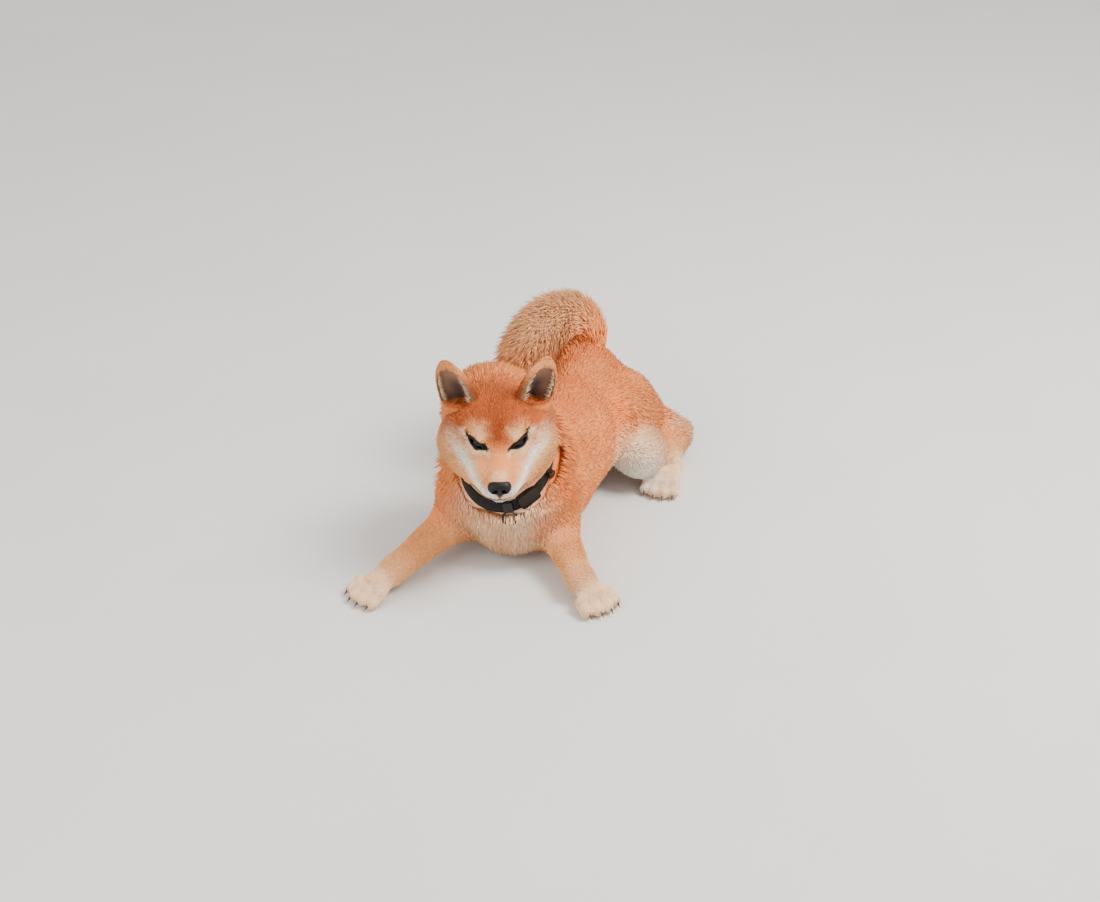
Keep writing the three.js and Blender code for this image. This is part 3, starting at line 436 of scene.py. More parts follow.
def placed(p):
    """Millimetres in the dog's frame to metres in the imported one."""
    return (np.asarray(p, float) + OFFSET) / 1000


# The skin's field
def reach_of(p):
    if p["kind"] == "ball":
        return p["c"] - p["r"], p["c"] + p["r"]
    r = max(p["r0"], p["r1"])
    return np.minimum(p["a"], p["b"]) - r, np.maximum(p["a"], p["b"]) + r


EIGHT = [(a, b, c) for a in (0, 1) for b in (0, 1) for c in (0, 1)]
FAR = 50.0


def span_of(axes, lo, hi):
    return [slice(np.searchsorted(t, a), np.searchsorted(t, b)) for t, a, b in zip(axes, lo, hi)]


def on_grid(prims, xs, ys, zs, turned=False, margin=34):
    """The blended field on a grid, each solid only near itself."""
    out = np.full((len(xs), len(ys), len(zs)), FAR, np.float32)
    for p in prims:
        lo, hi = reach_of(p)
        if turned:
            box = from_head(np.array([np.where(c, hi, lo) for c in EIGHT]))
            lo, hi = box.min(0), box.max(0)
        span = span_of((xs, ys, zs), lo - margin, hi + margin)
        if any(s.stop <= s.start for s in span):
            continue
        x = np.stack(np.meshgrid(xs[span[0]], ys[span[1]], zs[span[2]], indexing="ij"), -1)
        if turned:
            x = to_head(x)
        out[tuple(span)] = smooth_min(out[tuple(span)], distance(p, x), p["k"])
    return out


def carve(d, x):
    """Lids, slits, mouth and the strap's own bed, at points of the dog's frame."""
    h = to_head(x)
    for eye in EYES.values():
        r = np.linalg.norm(h - eye["centre"], axis=-1)
        d = smooth_min(d, r - EYE_RADIUS - LID, 3)
        d = np.maximum(d, -(r - EYE_RADIUS - 0.1))
        d = np.maximum(d, -slit_field(eye, h))
    d = np.maximum(d, -(line_distance(MOUTH, h) - 1.1))
    return np.maximum(d, -strap_field(x))


def steps(lo, hi, coarse, fine_lo, fine_hi, fine):
    found = [lo]
    while found[-1] < hi:
        found.append(found[-1] + (fine if fine_lo <= found[-1] <= fine_hi else coarse))
    return np.array(found)


def surface_net(d, xs, ys, zs):
    """The surface where the field is nought, with one point in each grid cell that it crosses."""
    inside = d <= 0
    n = np.array(d.shape) - 1
    count = sum(inside[a : a + n[0], b : b + n[1], c : c + n[2]].astype(np.int8) for a, b, c in EIGHT)
    cell = np.argwhere((count > 0) & (count < 8))
    index = np.full(n, -1, np.int32)
    index[tuple(cell.T)] = np.arange(len(cell))
    axes = (xs, ys, zs)
    total, hits = np.zeros((len(cell), 3)), np.zeros(len(cell))
    for a in EIGHT:
        for axis in range(3):
            if a[axis]:
                continue
            b = tuple(v + (i == axis) for i, v in enumerate(a))
            i, j = cell + a, cell + b
            p, q = d[tuple(i.T)], d[tuple(j.T)]
            hit = (p <= 0) != (q <= 0)
            t = np.where(hit, p / np.where(hit, p - q, 1), 0)[:, None]
            start = np.stack([axes[k][i[:, k]] for k in range(3)], 1)
            end = np.stack([axes[k][j[:, k]] for k in range(3)], 1)
            total += np.where(hit[:, None], start + (end - start) * t, 0)
            hits += hit
    points = total / hits[:, None]
    quads = []
    for axis, u, w in ((0, 1, 2), (1, 2, 0), (2, 0, 1)):
        first, second = [slice(None)] * 3, [slice(None)] * 3
        first[axis], second[axis] = slice(0, -1), slice(1, None)
        a, b = inside[tuple(first)], inside[tuple(second)]
        edge = np.argwhere(a != b)
        for side in (u, w):
            edge = edge[(edge[:, side] > 0) & (edge[:, side] < d.shape[side] - 1)]
        was_in = a[tuple(edge.T)]
        ring = []
        for du, dw in ((1, 1), (0, 1), (0, 0), (1, 0)):
            c = edge.copy()
            c[:, u] -= du
            c[:, w] -= dw
            ring.append(index[tuple(c.T)])
        ring = np.stack(ring, 1)
        ring[~was_in] = ring[~was_in][:, ::-1]
        quads.append(ring)
    return points, np.vstack(quads)


def largest_part(points, quads):
    label = np.arange(len(points))
    while True:
        low_label = label[quads].min(1)
        new = label.copy()
        for c in range(4):
            np.minimum.at(new, quads[:, c], low_label)
        new = new[new]
        if (new == label).all():
            break
        label = new
    ids, counts = np.unique(label[quads[:, 0]], return_counts=True)
    keep = label[quads[:, 0]] == ids[counts.argmax()]
    quads = quads[keep]
    used, back = np.unique(quads, return_inverse=True)
    return points[used], back.reshape(-1, 4)


def normals_of(points, quads):
    a, b, c, d = (points[quads[:, i]] for i in range(4))
    n = np.cross(c - a, d - b)
    out = np.zeros_like(points)
    for i in range(4):
        np.add.at(out, quads[:, i], n)
    return unit(out)


def neighbours_mean(values, quads):
    total, hits = np.zeros_like(values), np.zeros(len(values))
    for i in range(4):
        for j in (1, 3):
            np.add.at(total, quads[:, i], values[quads[:, (i + j) % 4]])
            np.add.at(hits, quads[:, i], 1)
    return total / hits[:, None]


# Coat: for each kind of place its length, depth, lift at root and tip (degrees), width and tufts per cm2
COAT = {
    "crown": (9, 3.0, 26, 8, 1.5, 85),
    "brow": (5, 1.6, 24, 8, 1.2, 110),
    "cheek": (11, 3.6, 30, 10, 1.5, 85),
    "muzzle": (3.6, 0.9, 22, 8, 0.9, 120),
    "bridge": (3.2, 0.7, 20, 6, 0.9, 120),
    "chin": (5, 1.2, 24, 8, 1.0, 90),
    "throat": (14, 4.5, 28, 10, 1.9, 60),
    "neck": (24, 8.5, 34, 10, 2.3, 56),
    "chest": (24, 8.5, 34, 10, 2.4, 52),
    "withers": (20, 6.5, 28, 8, 2.2, 52),
    "flank": (17, 5.0, 24, 7, 2.2, 50),
    "back": (17, 5.5, 26, 8, 2.2, 50),
    "breech": (26, 8.5, 38, 14, 2.5, 46),
    "thigh": (18, 5.5, 28, 8, 2.2, 50),
    "shank": (8, 2.2, 24, 8, 1.7, 60),
    "arm": (13, 4.0, 26, 8, 2.0, 56),
    "forearm": (7, 1.9, 22, 7, 1.5, 70),
    "foot": (4.5, 1.2, 20, 6, 1.2, 80),
    "toe": (3.5, 0.9, 18, 4, 1.0, 100),
    "dock": (24, 7, 40, 16, 2.6, 44),
    "tail": (34, 2.0, 62, 26, 2.9, 60),
}
TAGS = list(COAT)
TABLE = np.array([COAT[t] for t in TAGS])


def traits(x):
    """At points on the surface: the coat's numbers, its lie and each kind's share."""
    h = to_head(x)
    nearness = [-distance(p, h) / 5 for p in head_prims] + [-distance(p, x) / 7 for p in body_prims]
    flows = [p["flow"] @ HEAD_TURN.T for p in head_prims] + [p["flow"] for p in body_prims]
    rows = [TAGS.index(p["tag"]) for p in head_prims + body_prims]
    nearness = np.stack(nearness, 1)
    w = np.exp(np.clip(nearness - nearness.max(1, keepdims=True), -30, 0))
    w /= w.sum(1, keepdims=True)
    share = np.zeros((len(x), len(TAGS)))
    for i, r in enumerate(rows):
        share[:, r] += w[:, i]
    return share @ TABLE, unit(w @ np.array(flows)), share


# Patterns
LATTICE = 32
lattice = rng.random((LATTICE, LATTICE, LATTICE, 3))


def noise(x, size):
    """Smooth noise from -1 to 1, three values a point."""
    q = np.asarray(x, float) / size
    base = np.floor(q).astype(int)
    f = q - base
    f = f * f * (3 - 2 * f)
    out = 0
    for corner in EIGHT:
        i = (base + corner) % LATTICE
        w = np.prod(np.where(corner, f, 1 - f), -1)
        out = out + w[..., None] * lattice[i[..., 0], i[..., 1], i[..., 2]]
    return 2 * out - 1


def spot(p, centre, radii, soft=0.5):
    d = np.sqrt((((p - arr(*centre)) / arr(*radii)) ** 2).sum(-1))
    return 1 - ramp(d, 1 - soft, 1 + soft)


def both(p):
    return np.abs(p[..., :1]) * (1, 0, 0) + p * (0, 1, 1)


def srgb(*c):
    c = np.array(c, float) / 255
    return np.where(c <= 0.04045, c / 12.92, ((c + 0.055) / 1.055) ** 2.4)


RED = srgb(246, 134, 66)
RUST = srgb(200, 100, 50)
DEEP = srgb(132, 56, 22)
SAND = srgb(251, 180, 116)
CREAM = srgb(253, 220, 182)
WHITE = srgb(255, 246, 234)
OLIVE = srgb(158, 128, 88)
HEAD_RED = RED + (SAND - RED) * 0.4
DARK = srgb(14, 9, 7)
CUP_SHADE = srgb(72, 54, 54)


def paint(colour, other, amount):
    return colour + (other - colour) * np.clip(amount, 0, 1)[:, None]


def coat_colour(x, share):
    """The markings, from a point's place in the dog's frame and the head's."""
    n, fine = noise(x, 26), noise(x, 7)
    x = x + 2.5 * fine
    h = to_head(x)
    m = both(h)
    of = lambda *tags: sum(share[:, TAGS.index(t)] for t in tags)
    on_head = of("crown", "brow", "cheek", "muzzle", "bridge", "chin")
    c = np.tile(RED, (len(x), 1))
    c = paint(c, SAND, 0.25 + 0.25 * n[:, 0])
    # trunk: lighter towards the belly and on the breeches
    c = paint(c, SAND, 0.7 * ramp(-x[:, 2], -70, -10))
    c = paint(c, CREAM, 0.75 * of("breech") * ramp(-x[:, 2], -110, -30))
    c = paint(c, RUST, 0.35 * ramp(x[:, 2], 120, 190) * of("back", "withers", "flank"))
    # chest: pale in front
    front = spot(x, chest_point(0, 56, 84), (66, 60, 58), 0.5)
    c = paint(c, CREAM, (0.62 + 0.25 * n[:, 2]) * front)
    # forelegs: pale inside and on the toes
    c = paint(c, SAND, 0.55 * of("forearm", "foot"))
    c = paint(c, CREAM, 0.8 * of("toe") + 0.45 * of("foot"))
    # thigh and knee: a pale streak in front, whitest low down
    for side in (1, -1):
        knee = arr(RUMP_X + side * 104, 352, 40)
        c = paint(c, CREAM, 0.85 * spot(x, knee + arr(0, 4, 14), (44, 44, 46), 0.6))
        c = paint(c, WHITE, 0.9 * spot(x, knee, (38, 40, 34), 0.5))
    # tail: pale over the curl, with painted shade in the hollow under it
    c = paint(c, CREAM, 0.42 * of("tail") * ramp(x[:, 2], 196, 240))
    c = paint(c, SAND, 0.4 * of("tail"))
    # painted shade: a deep rust spot where the hollow under the curl lies in shadow
    c = paint(c, DEEP, 0.6 * spot(x, (-52, 436, 184), (30, 34, 22), 0.6))
    # head: rust above the eyes, a darker wedge between the brows
    top = paint(np.tile(RUST, (len(x), 1)), DEEP, 0.1 + 0.16 * n[:, 1] + 0.24 * fine[:, 2])
    c = c + (top - c) * (on_head * ramp(h[:, 2], 10, 34))[:, None]
    wedge = np.exp(-((m[:, 0] / (5 + 0.42 * np.maximum(0, h[:, 2] - 30))) ** 2))
    wedge *= ramp(h[:, 2], 24, 36) * ramp(-h[:, 2], -84, -50)
    c = paint(c, DEEP, 0.62 * wedge * on_head)
    mark = lambda c, colour, amount, *place: paint(c, colour, amount * on_head * spot(m, *place))
    c = mark(c, SAND, 0.75, (25, 62, 46), (13, 28, 8), 0.8)
    c = mark(c, CREAM, 0.3, (24, 60, 45), (9, 24, 5), 0.8)
    # cheeks: sand under the eye, one white streak down to the mouth, olive at the jaw's edge
    c = paint(c, SAND, 0.85 * on_head * ramp(-h[:, 2], -30, -8) * ramp(m[:, 0], 15, 30))
    c = mark(c, CREAM, 0.7, (55, 78, 24), (13, 34, 11), 0.8)
    c = mark(c, CREAM, 0.6, (30, 56, 22), (11, 26, 6), 0.7)
    streak = m[:, 0] - (41 - 0.62 * (6 - h[:, 2]))
    pale = np.exp(-((streak / 8.5) ** 2)) * ramp(h[:, 2], -34, -18) * ramp(-h[:, 2], -26, -14)
    c = paint(c, WHITE, 0.95 * pale * on_head * ramp(m[:, 0], 16, 24))
    c = mark(c, OLIVE, 0.5 * (0.8 + 0.5 * fine[:, 1]), (70, 86, -20), (20, 46, 26), 0.6)
    c = mark(c, OLIVE, 0.45, (27, 44, -8), (4, 18, 10), 0.7)
    # muzzle: orange along the bridge, white beside the nose
    c = mark(c, SAND, 0.6, (0, 46, 14), (22, 44, 18), 0.45)
    c = mark(c, RED, 0.6, (0, 54, 20), (16, 36, 14), 0.6)
    c = mark(c, WHITE, 0.97, (15, 20, -17), (14, 26, 14), 0.4)
    c = mark(c, CREAM, 0.55, (0, 17, 8), (12, 11, 7))
    c = paint(c, WHITE, 0.9 * (of("chin", "throat")) * ramp(-h[:, 2], 14, 28))
    # dark lines round the eyes, the mouth and behind the nose
    for eye in EYES.values():
        u, v, w = eye_local(eye, h)
        edge = EYE_SLIT[1] / 2 * (1 - np.clip(np.abs(u) / 16, 0, 1) ** 2)
        away = np.maximum(np.abs(v) - edge, np.abs(u) - 17.5)
        c = paint(c, CREAM, 0.75 * (1 - ramp(away, 5, 9)) * (v < 0) * (w > 0))
        c = paint(c, SAND, 0.6 * (1 - ramp(away, 4, 8)) * (v > 0) * (w > 0))
        c = paint(c, DARK, 0.98 * (1 - ramp(away, 1.2, 4.2)) * (w > 0))
    c = paint(c, DARK, 0.8 * (1 - ramp(line_distance(MOUTH, h), 1.2, 2.6)))
    c = paint(c, DARK, spot(m, (0, 13, -5), (13.5, 13, 9.5), 0.2))
    return c * (1 + 0.10 * n[:, 2:] + 0.07 * fine[:, :1])


# Meshes
def mesh_object(name, points, faces):
    """An object from points in metres and faces of one size, or a list of them."""
    me = bpy.data.meshes.new(name)
    if isinstance(faces, np.ndarray):
        n, k = faces.shape
        me.vertices.add(len(points))
        me.vertices.foreach_set("co", np.asarray(points, np.float32).ravel())
        me.loops.add(n * k)
        me.loops.foreach_set("vertex_index", faces.astype(np.int32).ravel())
        me.polygons.add(n)
        me.polygons.foreach_set("loop_start", np.arange(0, n * k, k, dtype=np.int32))
        me.update(calc_edges=True)
    else:
        me.from_pydata([tuple(p) for p in points], [], faces)
    me.validate()
    me.polygons.foreach_set("use_smooth", np.full(len(me.polygons), True))
    o = bpy.data.objects.new(name, me)
    bpy.context.scene.collection.objects.link(o)
    return o


def colour_points(o, colours):
    a = o.data.color_attributes.new("Markings", "FLOAT_COLOR", "POINT")
    rgba = np.ones((len(o.data.vertices), 4), np.float32)
    rgba[:, :3] = np.clip(colours, 0, 1)
    a.data.foreach_set("color", rgba.ravel())


def loft_faces(rings, around, closed=False):
    """The faces between rings of points, and from the last to the first where it is closed."""
    i = np.arange(rings if closed else rings - 1)[:, None]
    j = (i + 1) % rings
    s = np.arange(around)[None]
    n = (s + 1) % around
    return np.stack([i * around + s, i * around + n, j * around + n, j * around + s], -1).reshape(-1, 4)


def lofted(name, rings, closed=False):
    """An object from rings of points in the dog's frame, closed in a loop or capped at both ends."""
    k, around = rings.shape[:2]
    faces = loft_faces(k, around, closed)
    if not closed:
        caps = [tuple(range(around))[::-1], tuple(range((k - 1) * around, k * around))]
        faces = [tuple(f) for f in faces] + caps
    return mesh_object(name, placed(rings.reshape(-1, 3)), faces)


# Materials
def matter(
    name, colour=None, other=None, scale=40, rough=0.6, bump=0.2, depth=0.0006, fine=900, pattern="noise",
    metallic=0.0, sheen=0.0, coat=0.0, specular=0.4, amount=0.5, stretch=(1, 1, 1),
):
    """A node material: two colours by a pattern, or the markings varied by it, with a grain and a gloss."""
    m = bpy.data.materials.new(name)
    m.use_nodes = True
    nodes, link = m.node_tree.nodes, m.node_tree.links.new
    b = nodes["Principled BSDF"]
    at = nodes.new("ShaderNodeTexCoord")
    place = nodes.new("ShaderNodeMapping")
    place.inputs["Scale"].default_value = stretch
    link(at.outputs["Object"], place.inputs["Vector"])

    def texture(kind, size):
        t = nodes.new({"noise": "ShaderNodeTexNoise", "voronoi": "ShaderNodeTexVoronoi"}[kind])
        t.inputs["Scale"].default_value = size
        if "Detail" in t.inputs:
            t.inputs["Detail"].default_value = 3
        link(place.outputs["Vector"], t.inputs["Vector"])
        return t.outputs["Distance"] if kind == "voronoi" else t.outputs["Fac"]

    broad = texture("noise", scale)
    shades = nodes.new("ShaderNodeMix")
    shades.data_type = "RGBA"
    if colour is None:
        marks = nodes.new("ShaderNodeAttribute")
        marks.attribute_name = "Markings"
        vary = nodes.new("ShaderNodeHueSaturation")
        vary.inputs["Value"].default_value = 1 - 0.3 * amount
        link(marks.outputs["Color"], vary.inputs["Color"])
        link(marks.outputs["Color"], shades.inputs["A"])
        link(vary.outputs["Color"], shades.inputs["B"])
    else:
        shades.inputs["A"].default_value = (*colour, 1)
        shades.inputs["B"].default_value = (*other, 1)
    link(broad, shades.inputs["Factor"])
    link(shades.outputs["Result"], b.inputs["Base Color"])
    gloss = nodes.new("ShaderNodeMapRange")
    gloss.inputs["To Min"].default_value = max(0.03, rough - 0.08)
    gloss.inputs["To Max"].default_value = min(1, rough + 0.08)
    link(broad, gloss.inputs["Value"])
    link(gloss.outputs["Result"], b.inputs["Roughness"])
    grain = nodes.new("ShaderNodeBump")
    grain.inputs["Strength"].default_value = bump
    grain.inputs["Distance"].default_value = depth
    link(texture(pattern, fine), grain.inputs["Height"])
    link(grain.outputs["Normal"], b.inputs["Normal"])
    b.inputs["Metallic"].default_value = metallic
    b.inputs["Sheen Weight"].default_value = sheen
    b.inputs["Coat Weight"].default_value = coat
    b.inputs["Specular IOR Level"].default_value = specular
    return m


FUR = matter("fur", scale=60, rough=0.72, bump=0.25, fine=1400, specular=0.12, amount=0.45)
SKIN = matter("short_coat", scale=90, rough=0.8, bump=0.5, fine=1100, specular=0.1, amount=0.7)
NOSE = matter(
    "nose_leather", srgb(9, 8, 9), srgb(19, 16, 17), scale=120, rough=0.42, bump=0.5, depth=0.0005,
    fine=700, pattern="voronoi", specular=0.22, coat=0.06,
)
LIP = matter("lip", srgb(30, 22, 20), srgb(52, 38, 34), scale=200, rough=0.5, bump=0.3, fine=900)
RIM = matter(
    "eyelid_rim", srgb(7, 5, 4), srgb(15, 10, 8), scale=300, specular=0.25, rough=0.55, bump=0.2, fine=1200
)
CLAW = matter(
    "claw", srgb(52, 42, 36), srgb(96, 80, 66), scale=160, rough=0.4, bump=0.25, fine=500, stretch=(1, 1, 4)
)
STRAP = matter(
    "webbing", srgb(8, 7, 7), srgb(17, 15, 15), scale=400, rough=0.75, bump=0.7, depth=0.0008,
    fine=620, pattern="voronoi", sheen=0.05, specular=0.25,
)
PLASTIC = matter(
    "buckle_plastic", srgb(7, 7, 7), srgb(13, 12, 12), scale=150, rough=0.4, bump=0.15, fine=1500,
    specular=0.35,
)
METAL = matter(
    "ring_metal", srgb(112, 106, 102), srgb(60, 56, 54), scale=220, rough=0.3, bump=0.12, fine=900,
    metallic=1.0,
)


def iris_material(eye):
    """Dark brown round a black pupil, darker again at the iris's edge."""
    m = matter(
        "eye_" + ("left" if eye["side"] > 0 else "right"), srgb(14, 8, 5), srgb(26, 13, 7), scale=500,
        rough=0.12, bump=0.03, fine=1200, coat=0.08, specular=0.25,
    )
    nodes, link = m.node_tree.nodes, m.node_tree.links.new
    b = nodes["Principled BSDF"]
    old = b.inputs["Base Color"].links[0].from_socket
    at = nodes.new("ShaderNodeTexCoord")
    away = nodes.new("ShaderNodeVectorMath")
    away.operation = "DISTANCE"
    away.inputs[1].default_value = tuple(placed(from_head(eye["centre"] + eye["gaze"] * EYE_RADIUS)))
    link(at.outputs["Object"], away.inputs[0])
    rings = nodes.new("ShaderNodeValToRGB")
    stops = [
        (0, (0.002, 0.002, 0.002, 1)),
        (0.27, (0.003, 0.002, 0.002, 1)),
        (0.31, (1, 1, 1, 1)),
        (0.62, (0.8, 0.8, 0.8, 1)),
        (0.7, (0.1, 0.08, 0.07, 1)),
        (1, (0.5, 0.4, 0.36, 1)),
    ]
    e = rings.color_ramp.elements
    e[0].color, e[1].color = stops[0][1], stops[-1][1]
    for pos, col in stops[1:-1]:
        e.new(pos).color = col
    size = nodes.new("ShaderNodeMapRange")
    size.inputs["From Max"].default_value = 0.0115
    link(away.outputs["Value"], size.inputs["Value"])
    link(size.outputs["Result"], rings.inputs["Fac"])
    mul = nodes.new("ShaderNodeMix")
    mul.data_type, mul.blend_type = "RGBA", "MULTIPLY"
    mul.inputs["Factor"].default_value = 1
    link(old, mul.inputs["A"])
    link(rings.outputs["Color"], mul.inputs["B"])
    link(mul.outputs["Result"], b.inputs["Base Color"])
    return m


def finish_piece(o, material, slot, *nodes):
    o.data.materials.clear()
    o.data.materials.append(material)
    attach(o, "root")
    if nodes:
        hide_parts(*nodes)
    return o


# Skin
COARSE, FINE = 3.2, 1.5  # grid steps, on the body and in the face
xs = steps(-214, 196, COARSE, -72, 92, FINE)
ys = steps(-74, 520, COARSE, 14, 112, FINE)
zs = steps(-4, 276, COARSE, 128, 236, FINE)
grid = on_grid(body_prims, xs, ys, zs)
near = tuple(span_of((xs, ys, zs), (-150, 4, 50), (80, 290, 250)))  # round the head and the collar
box_points = np.stack(np.meshgrid(xs[near[0]], ys[near[1]], zs[near[2]], indexing="ij"), -1)
grid[near] = np.maximum(grid[near], -parting_field(box_points))
grid = smooth_min(grid, on_grid(head_prims, xs, ys, zs, turned=True), HEAD_BLEND)
grid = np.maximum(grid, -zs[None, None, :].astype(np.float32))
grid[near] = carve(grid[near], box_points)
points, quads = largest_part(*surface_net(grid, xs, ys, zs))
# The skin lies under the coat's outline by the coat's depth, which fades towards strap, eyes, mouth and nose
NOSE_MIDDLE = arr(0, 9, -2)
numbers, lie, share = traits(points)
gap_out, gap_up, _ = collar_local(points)
by_collar = (1 - ramp(np.abs(gap_up), 10, 15)) * (1 - ramp(gap_out, 5, 14)) * (gap_out > -8)
depth = numbers[:, 1] * (1 - by_collar)
head_points = to_head(points)
for eye in EYES.values():
    away = np.linalg.norm(head_points - eye["centre"], axis=1)
    depth *= ramp(away, 13, 22)
depth *= ramp(line_distance(MOUTH, head_points), 1, 7)
depth *= ramp(np.linalg.norm(head_points - NOSE_MIDDLE, axis=1), 12, 24)
depth = np.minimum(depth, np.maximum(points[:, 2] - 0.4, 0))
smooth_normals = normals_of(points, quads)
for _ in range(3):
    smooth_normals = unit(neighbours_mean(smooth_normals, quads) + smooth_normals)
skin_points = points - smooth_normals * depth[:, None]
skin = mesh_object("skin", placed(skin_points), quads)
# painted shade: the skin under the tufts is a little darker than the coat over it
colour_points(skin, coat_colour(points, share) * 0.92)
FLESH = ("torso", "neck", "head", "upper_arm", "forearm", "thigh", "shank", "paw", "foot", "tail")
finish_piece(skin, SKIN, "coat", *[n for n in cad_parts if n.startswith(FLESH)])


# Tufts
ROOT_DEPTH = 0.8  # each root sinks this far into the skin


def tufts(p, n, flow, length, lift, width, colour):
    """Closed tufts: a root, three points across the middle and a tip, with six faces each."""
    k = len(p)
    flow = unit(flow - (flow * n).sum(1)[:, None] * n)
    side = np.cross(flow, n)
    swing = rng.normal(0, 0.16, k)[:, None]
    flow = unit(flow + side * swing)
    side = np.cross(flow, n)
    rise = np.radians(lift[:, 0] * rng.uniform(0.7, 1.3, k))[:, None]
    fall = np.radians(lift[:, 1] * rng.uniform(0.3, 1.6, k))[:, None]
    d0 = flow * np.cos(rise) + n * np.sin(rise)
    d1 = flow * np.cos(fall) + n * np.sin(fall)
    length = (length * rng.uniform(0.7, 1.25, k))[:, None]
    width = (width * rng.uniform(0.75, 1.3, k))[:, None]
    root = p - n * ROOT_DEPTH
    mid = root + d0 * length * 0.45
    tip = mid + unit(d1 + side * rng.normal(0, 0.12, k)[:, None]) * length * 0.55
    up = unit(np.cross(side, d0))
    up = np.where((up * n).sum(1)[:, None] < 0, -up, up)
    pts = np.stack([root, mid - side * width / 2, mid + up * width * 0.32, mid + side * width / 2, tip], 1)
    pts[:, :, 2] = np.maximum(pts[:, :, 2], 0.3)
    shade = colour * (1 + rng.normal(0, 0.06, k))[:, None]
    # painted shade darkens each tuft's root, and painted light brightens its ridge and tip
    col = np.stack([shade * 0.8, shade * 0.97, shade * 1.03, shade * 0.97, shade * 1.12], 1)
    return pts, col


TUFT_FACES = np.array([[0, 1, 2], [0, 2, 3], [0, 3, 1], [4, 2, 1], [4, 3, 2], [4, 1, 3]])
PATCH = 0.0014
TUFT_UV = np.array([[0, -1], [-1, 0], [0, 0.2], [1, 0], [0, 1]]) * PATCH


def coat_piece(name, pts, col, uv, slot):
    """One mesh of many tufts, each with a small patch of the OFBake map at its root's place."""
    faces = (TUFT_FACES[None] + pts.shape[1] * np.arange(len(pts))[:, None, None]).reshape(-1, 3)
    o = mesh_object(name, placed(pts.reshape(-1, 3)), faces)
    colour_points(o, col.reshape(-1, 3))
    layer = o.data.uv_layers.new(name="OFBake")
    spread = np.clip(uv, 0.003, 0.997)[:, None, :] + TUFT_UV[None]
    loops = np.empty(len(o.data.loops), np.int32)
    o.data.loops.foreach_get("vertex_index", loops)
    layer.data.foreach_set("uv", spread.reshape(-1, 2)[loops].astype(np.float32).ravel())
    return finish_piece(o, FUR, slot)


def scatter(points, quads, per_cm2):
    """Random places on the surface, as a function that gives any value of the points at each of them."""
    tri = np.vstack([quads[:, [0, 1, 2]], quads[:, [0, 2, 3]]])
    a, b, c = (points[tri[:, i]] for i in range(3))
    area = np.linalg.norm(np.cross(b - a, c - a), axis=1) / 2
    want = area / 100 * per_cm2[tri].mean(1)
    count = np.floor(want + rng.random(len(want))).astype(int)
    pick = np.repeat(np.arange(len(tri)), count)
    r = np.sqrt(rng.random(len(pick)))
    s = rng.random(len(pick))
    w = np.stack([1 - r, r * (1 - s), r * s], 1)
    t = tri[pick]
    return lambda v: (v[t] * w.reshape(w.shape + (1,) * (v.ndim - 1))).sum(1)


UNDERSIDE = 2.5
per_cm2 = np.where(points[:, 2] < UNDERSIDE, 0, numbers[:, 5] * (1 - by_collar))
for eye in EYES.values():
    per_cm2 = per_cm2 * ramp(slit_field(eye, head_points), 2.6, 4.6)
per_cm2 = per_cm2 * ramp(line_distance(MOUTH, head_points), 1.4, 3)
per_cm2 = per_cm2 * ramp(np.linalg.norm((head_points - NOSE_MIDDLE) / arr(1.3, 1, 1), axis=1), 11, 15)
blend = scatter(skin_points, quads, per_cm2)
root, root_normal = blend(skin_points), unit(blend(smooth_normals))
outer = blend(points)
number, flow, part = blend(numbers), unit(blend(lie)), blend(share)
h = to_head(root)
length = number[:, 0].copy()
for eye in EYES.values():
    length *= lerp(0.4, 1, ramp(np.linalg.norm(h - eye["centre"], axis=1), 12, 24))
markings = coat_colour(outer + rng.normal(0, 1.5, outer.shape), part)
pts, col = tufts(root, root_normal, flow, length, number[:, 2:4], number[:, 4], markings)
# no tuft crosses the strap where it is seen
crossing = np.zeros(len(pts), bool)
for corner in (2, 4):
    out, up, angle = collar_local(pts[:, corner])
    crossing |= (np.abs(up) < COLLAR_WIDTH / 2 + 1.5) & (out > -2) & (out < 16) & (np.cos(angle) > -0.2)
pts, col, part, root, h = (v[~crossing] for v in (pts, col, part, root, h))

# The coat in pieces, each unrolled round its own middle for its map
GROUPS = {
    "head": ("crown", "brow", "cheek", "muzzle", "bridge", "chin", "throat"),
    "neck": ("neck", "chest", "withers"),
    "trunk": ("flank", "back"),
    "hind": ("thigh", "breech", "shank"),
    "foreleg": ("arm", "forearm"),
    "paws": ("foot", "toe"),
    "tail": ("tail", "dock"),
}
group = np.stack([part[:, [TAGS.index(t) for t in tags]].sum(1) for tags in GROUPS.values()], 1).argmax(1)
MOST = 31000  # tufts in a piece
SLOT_OF = {"tail": "coat_tail", "paws": "coat_paws"}
for g, name in enumerate(GROUPS):
    mine = np.flatnonzero(group == g)
    q = h[mine] - arr(0, 90, 0) if name == "head" else root[mine] - root[mine].mean(0)
    if name in ("trunk", "tail", "hind", "paws"):
        angle, along = np.arctan2(q[:, 0], q[:, 2] + 1e-6), q[:, 1]
    else:
        angle, along = np.arctan2(q[:, 0], -q[:, 1]), q[:, 2]
    u = (angle + pi) / (2 * pi)
    v = (along - along.min()) / np.ptp(along)
    cut = np.argsort(u, kind="stable")
    pieces = math.ceil(len(mine) / MOST)
    for i, chunk in enumerate(np.array_split(cut, pieces)):
        uu = u[chunk]
        uu = (uu - uu.min()) / max(np.ptp(uu), 1e-6)
        label = f"coat_{name}" + (f"_{i + 1}" if pieces > 1 else "")
        own = mine[chunk]
        coat_piece(label, pts[own], col[own], np.stack([uu, v[chunk]], 1), SLOT_OF.get(name, "coat"))


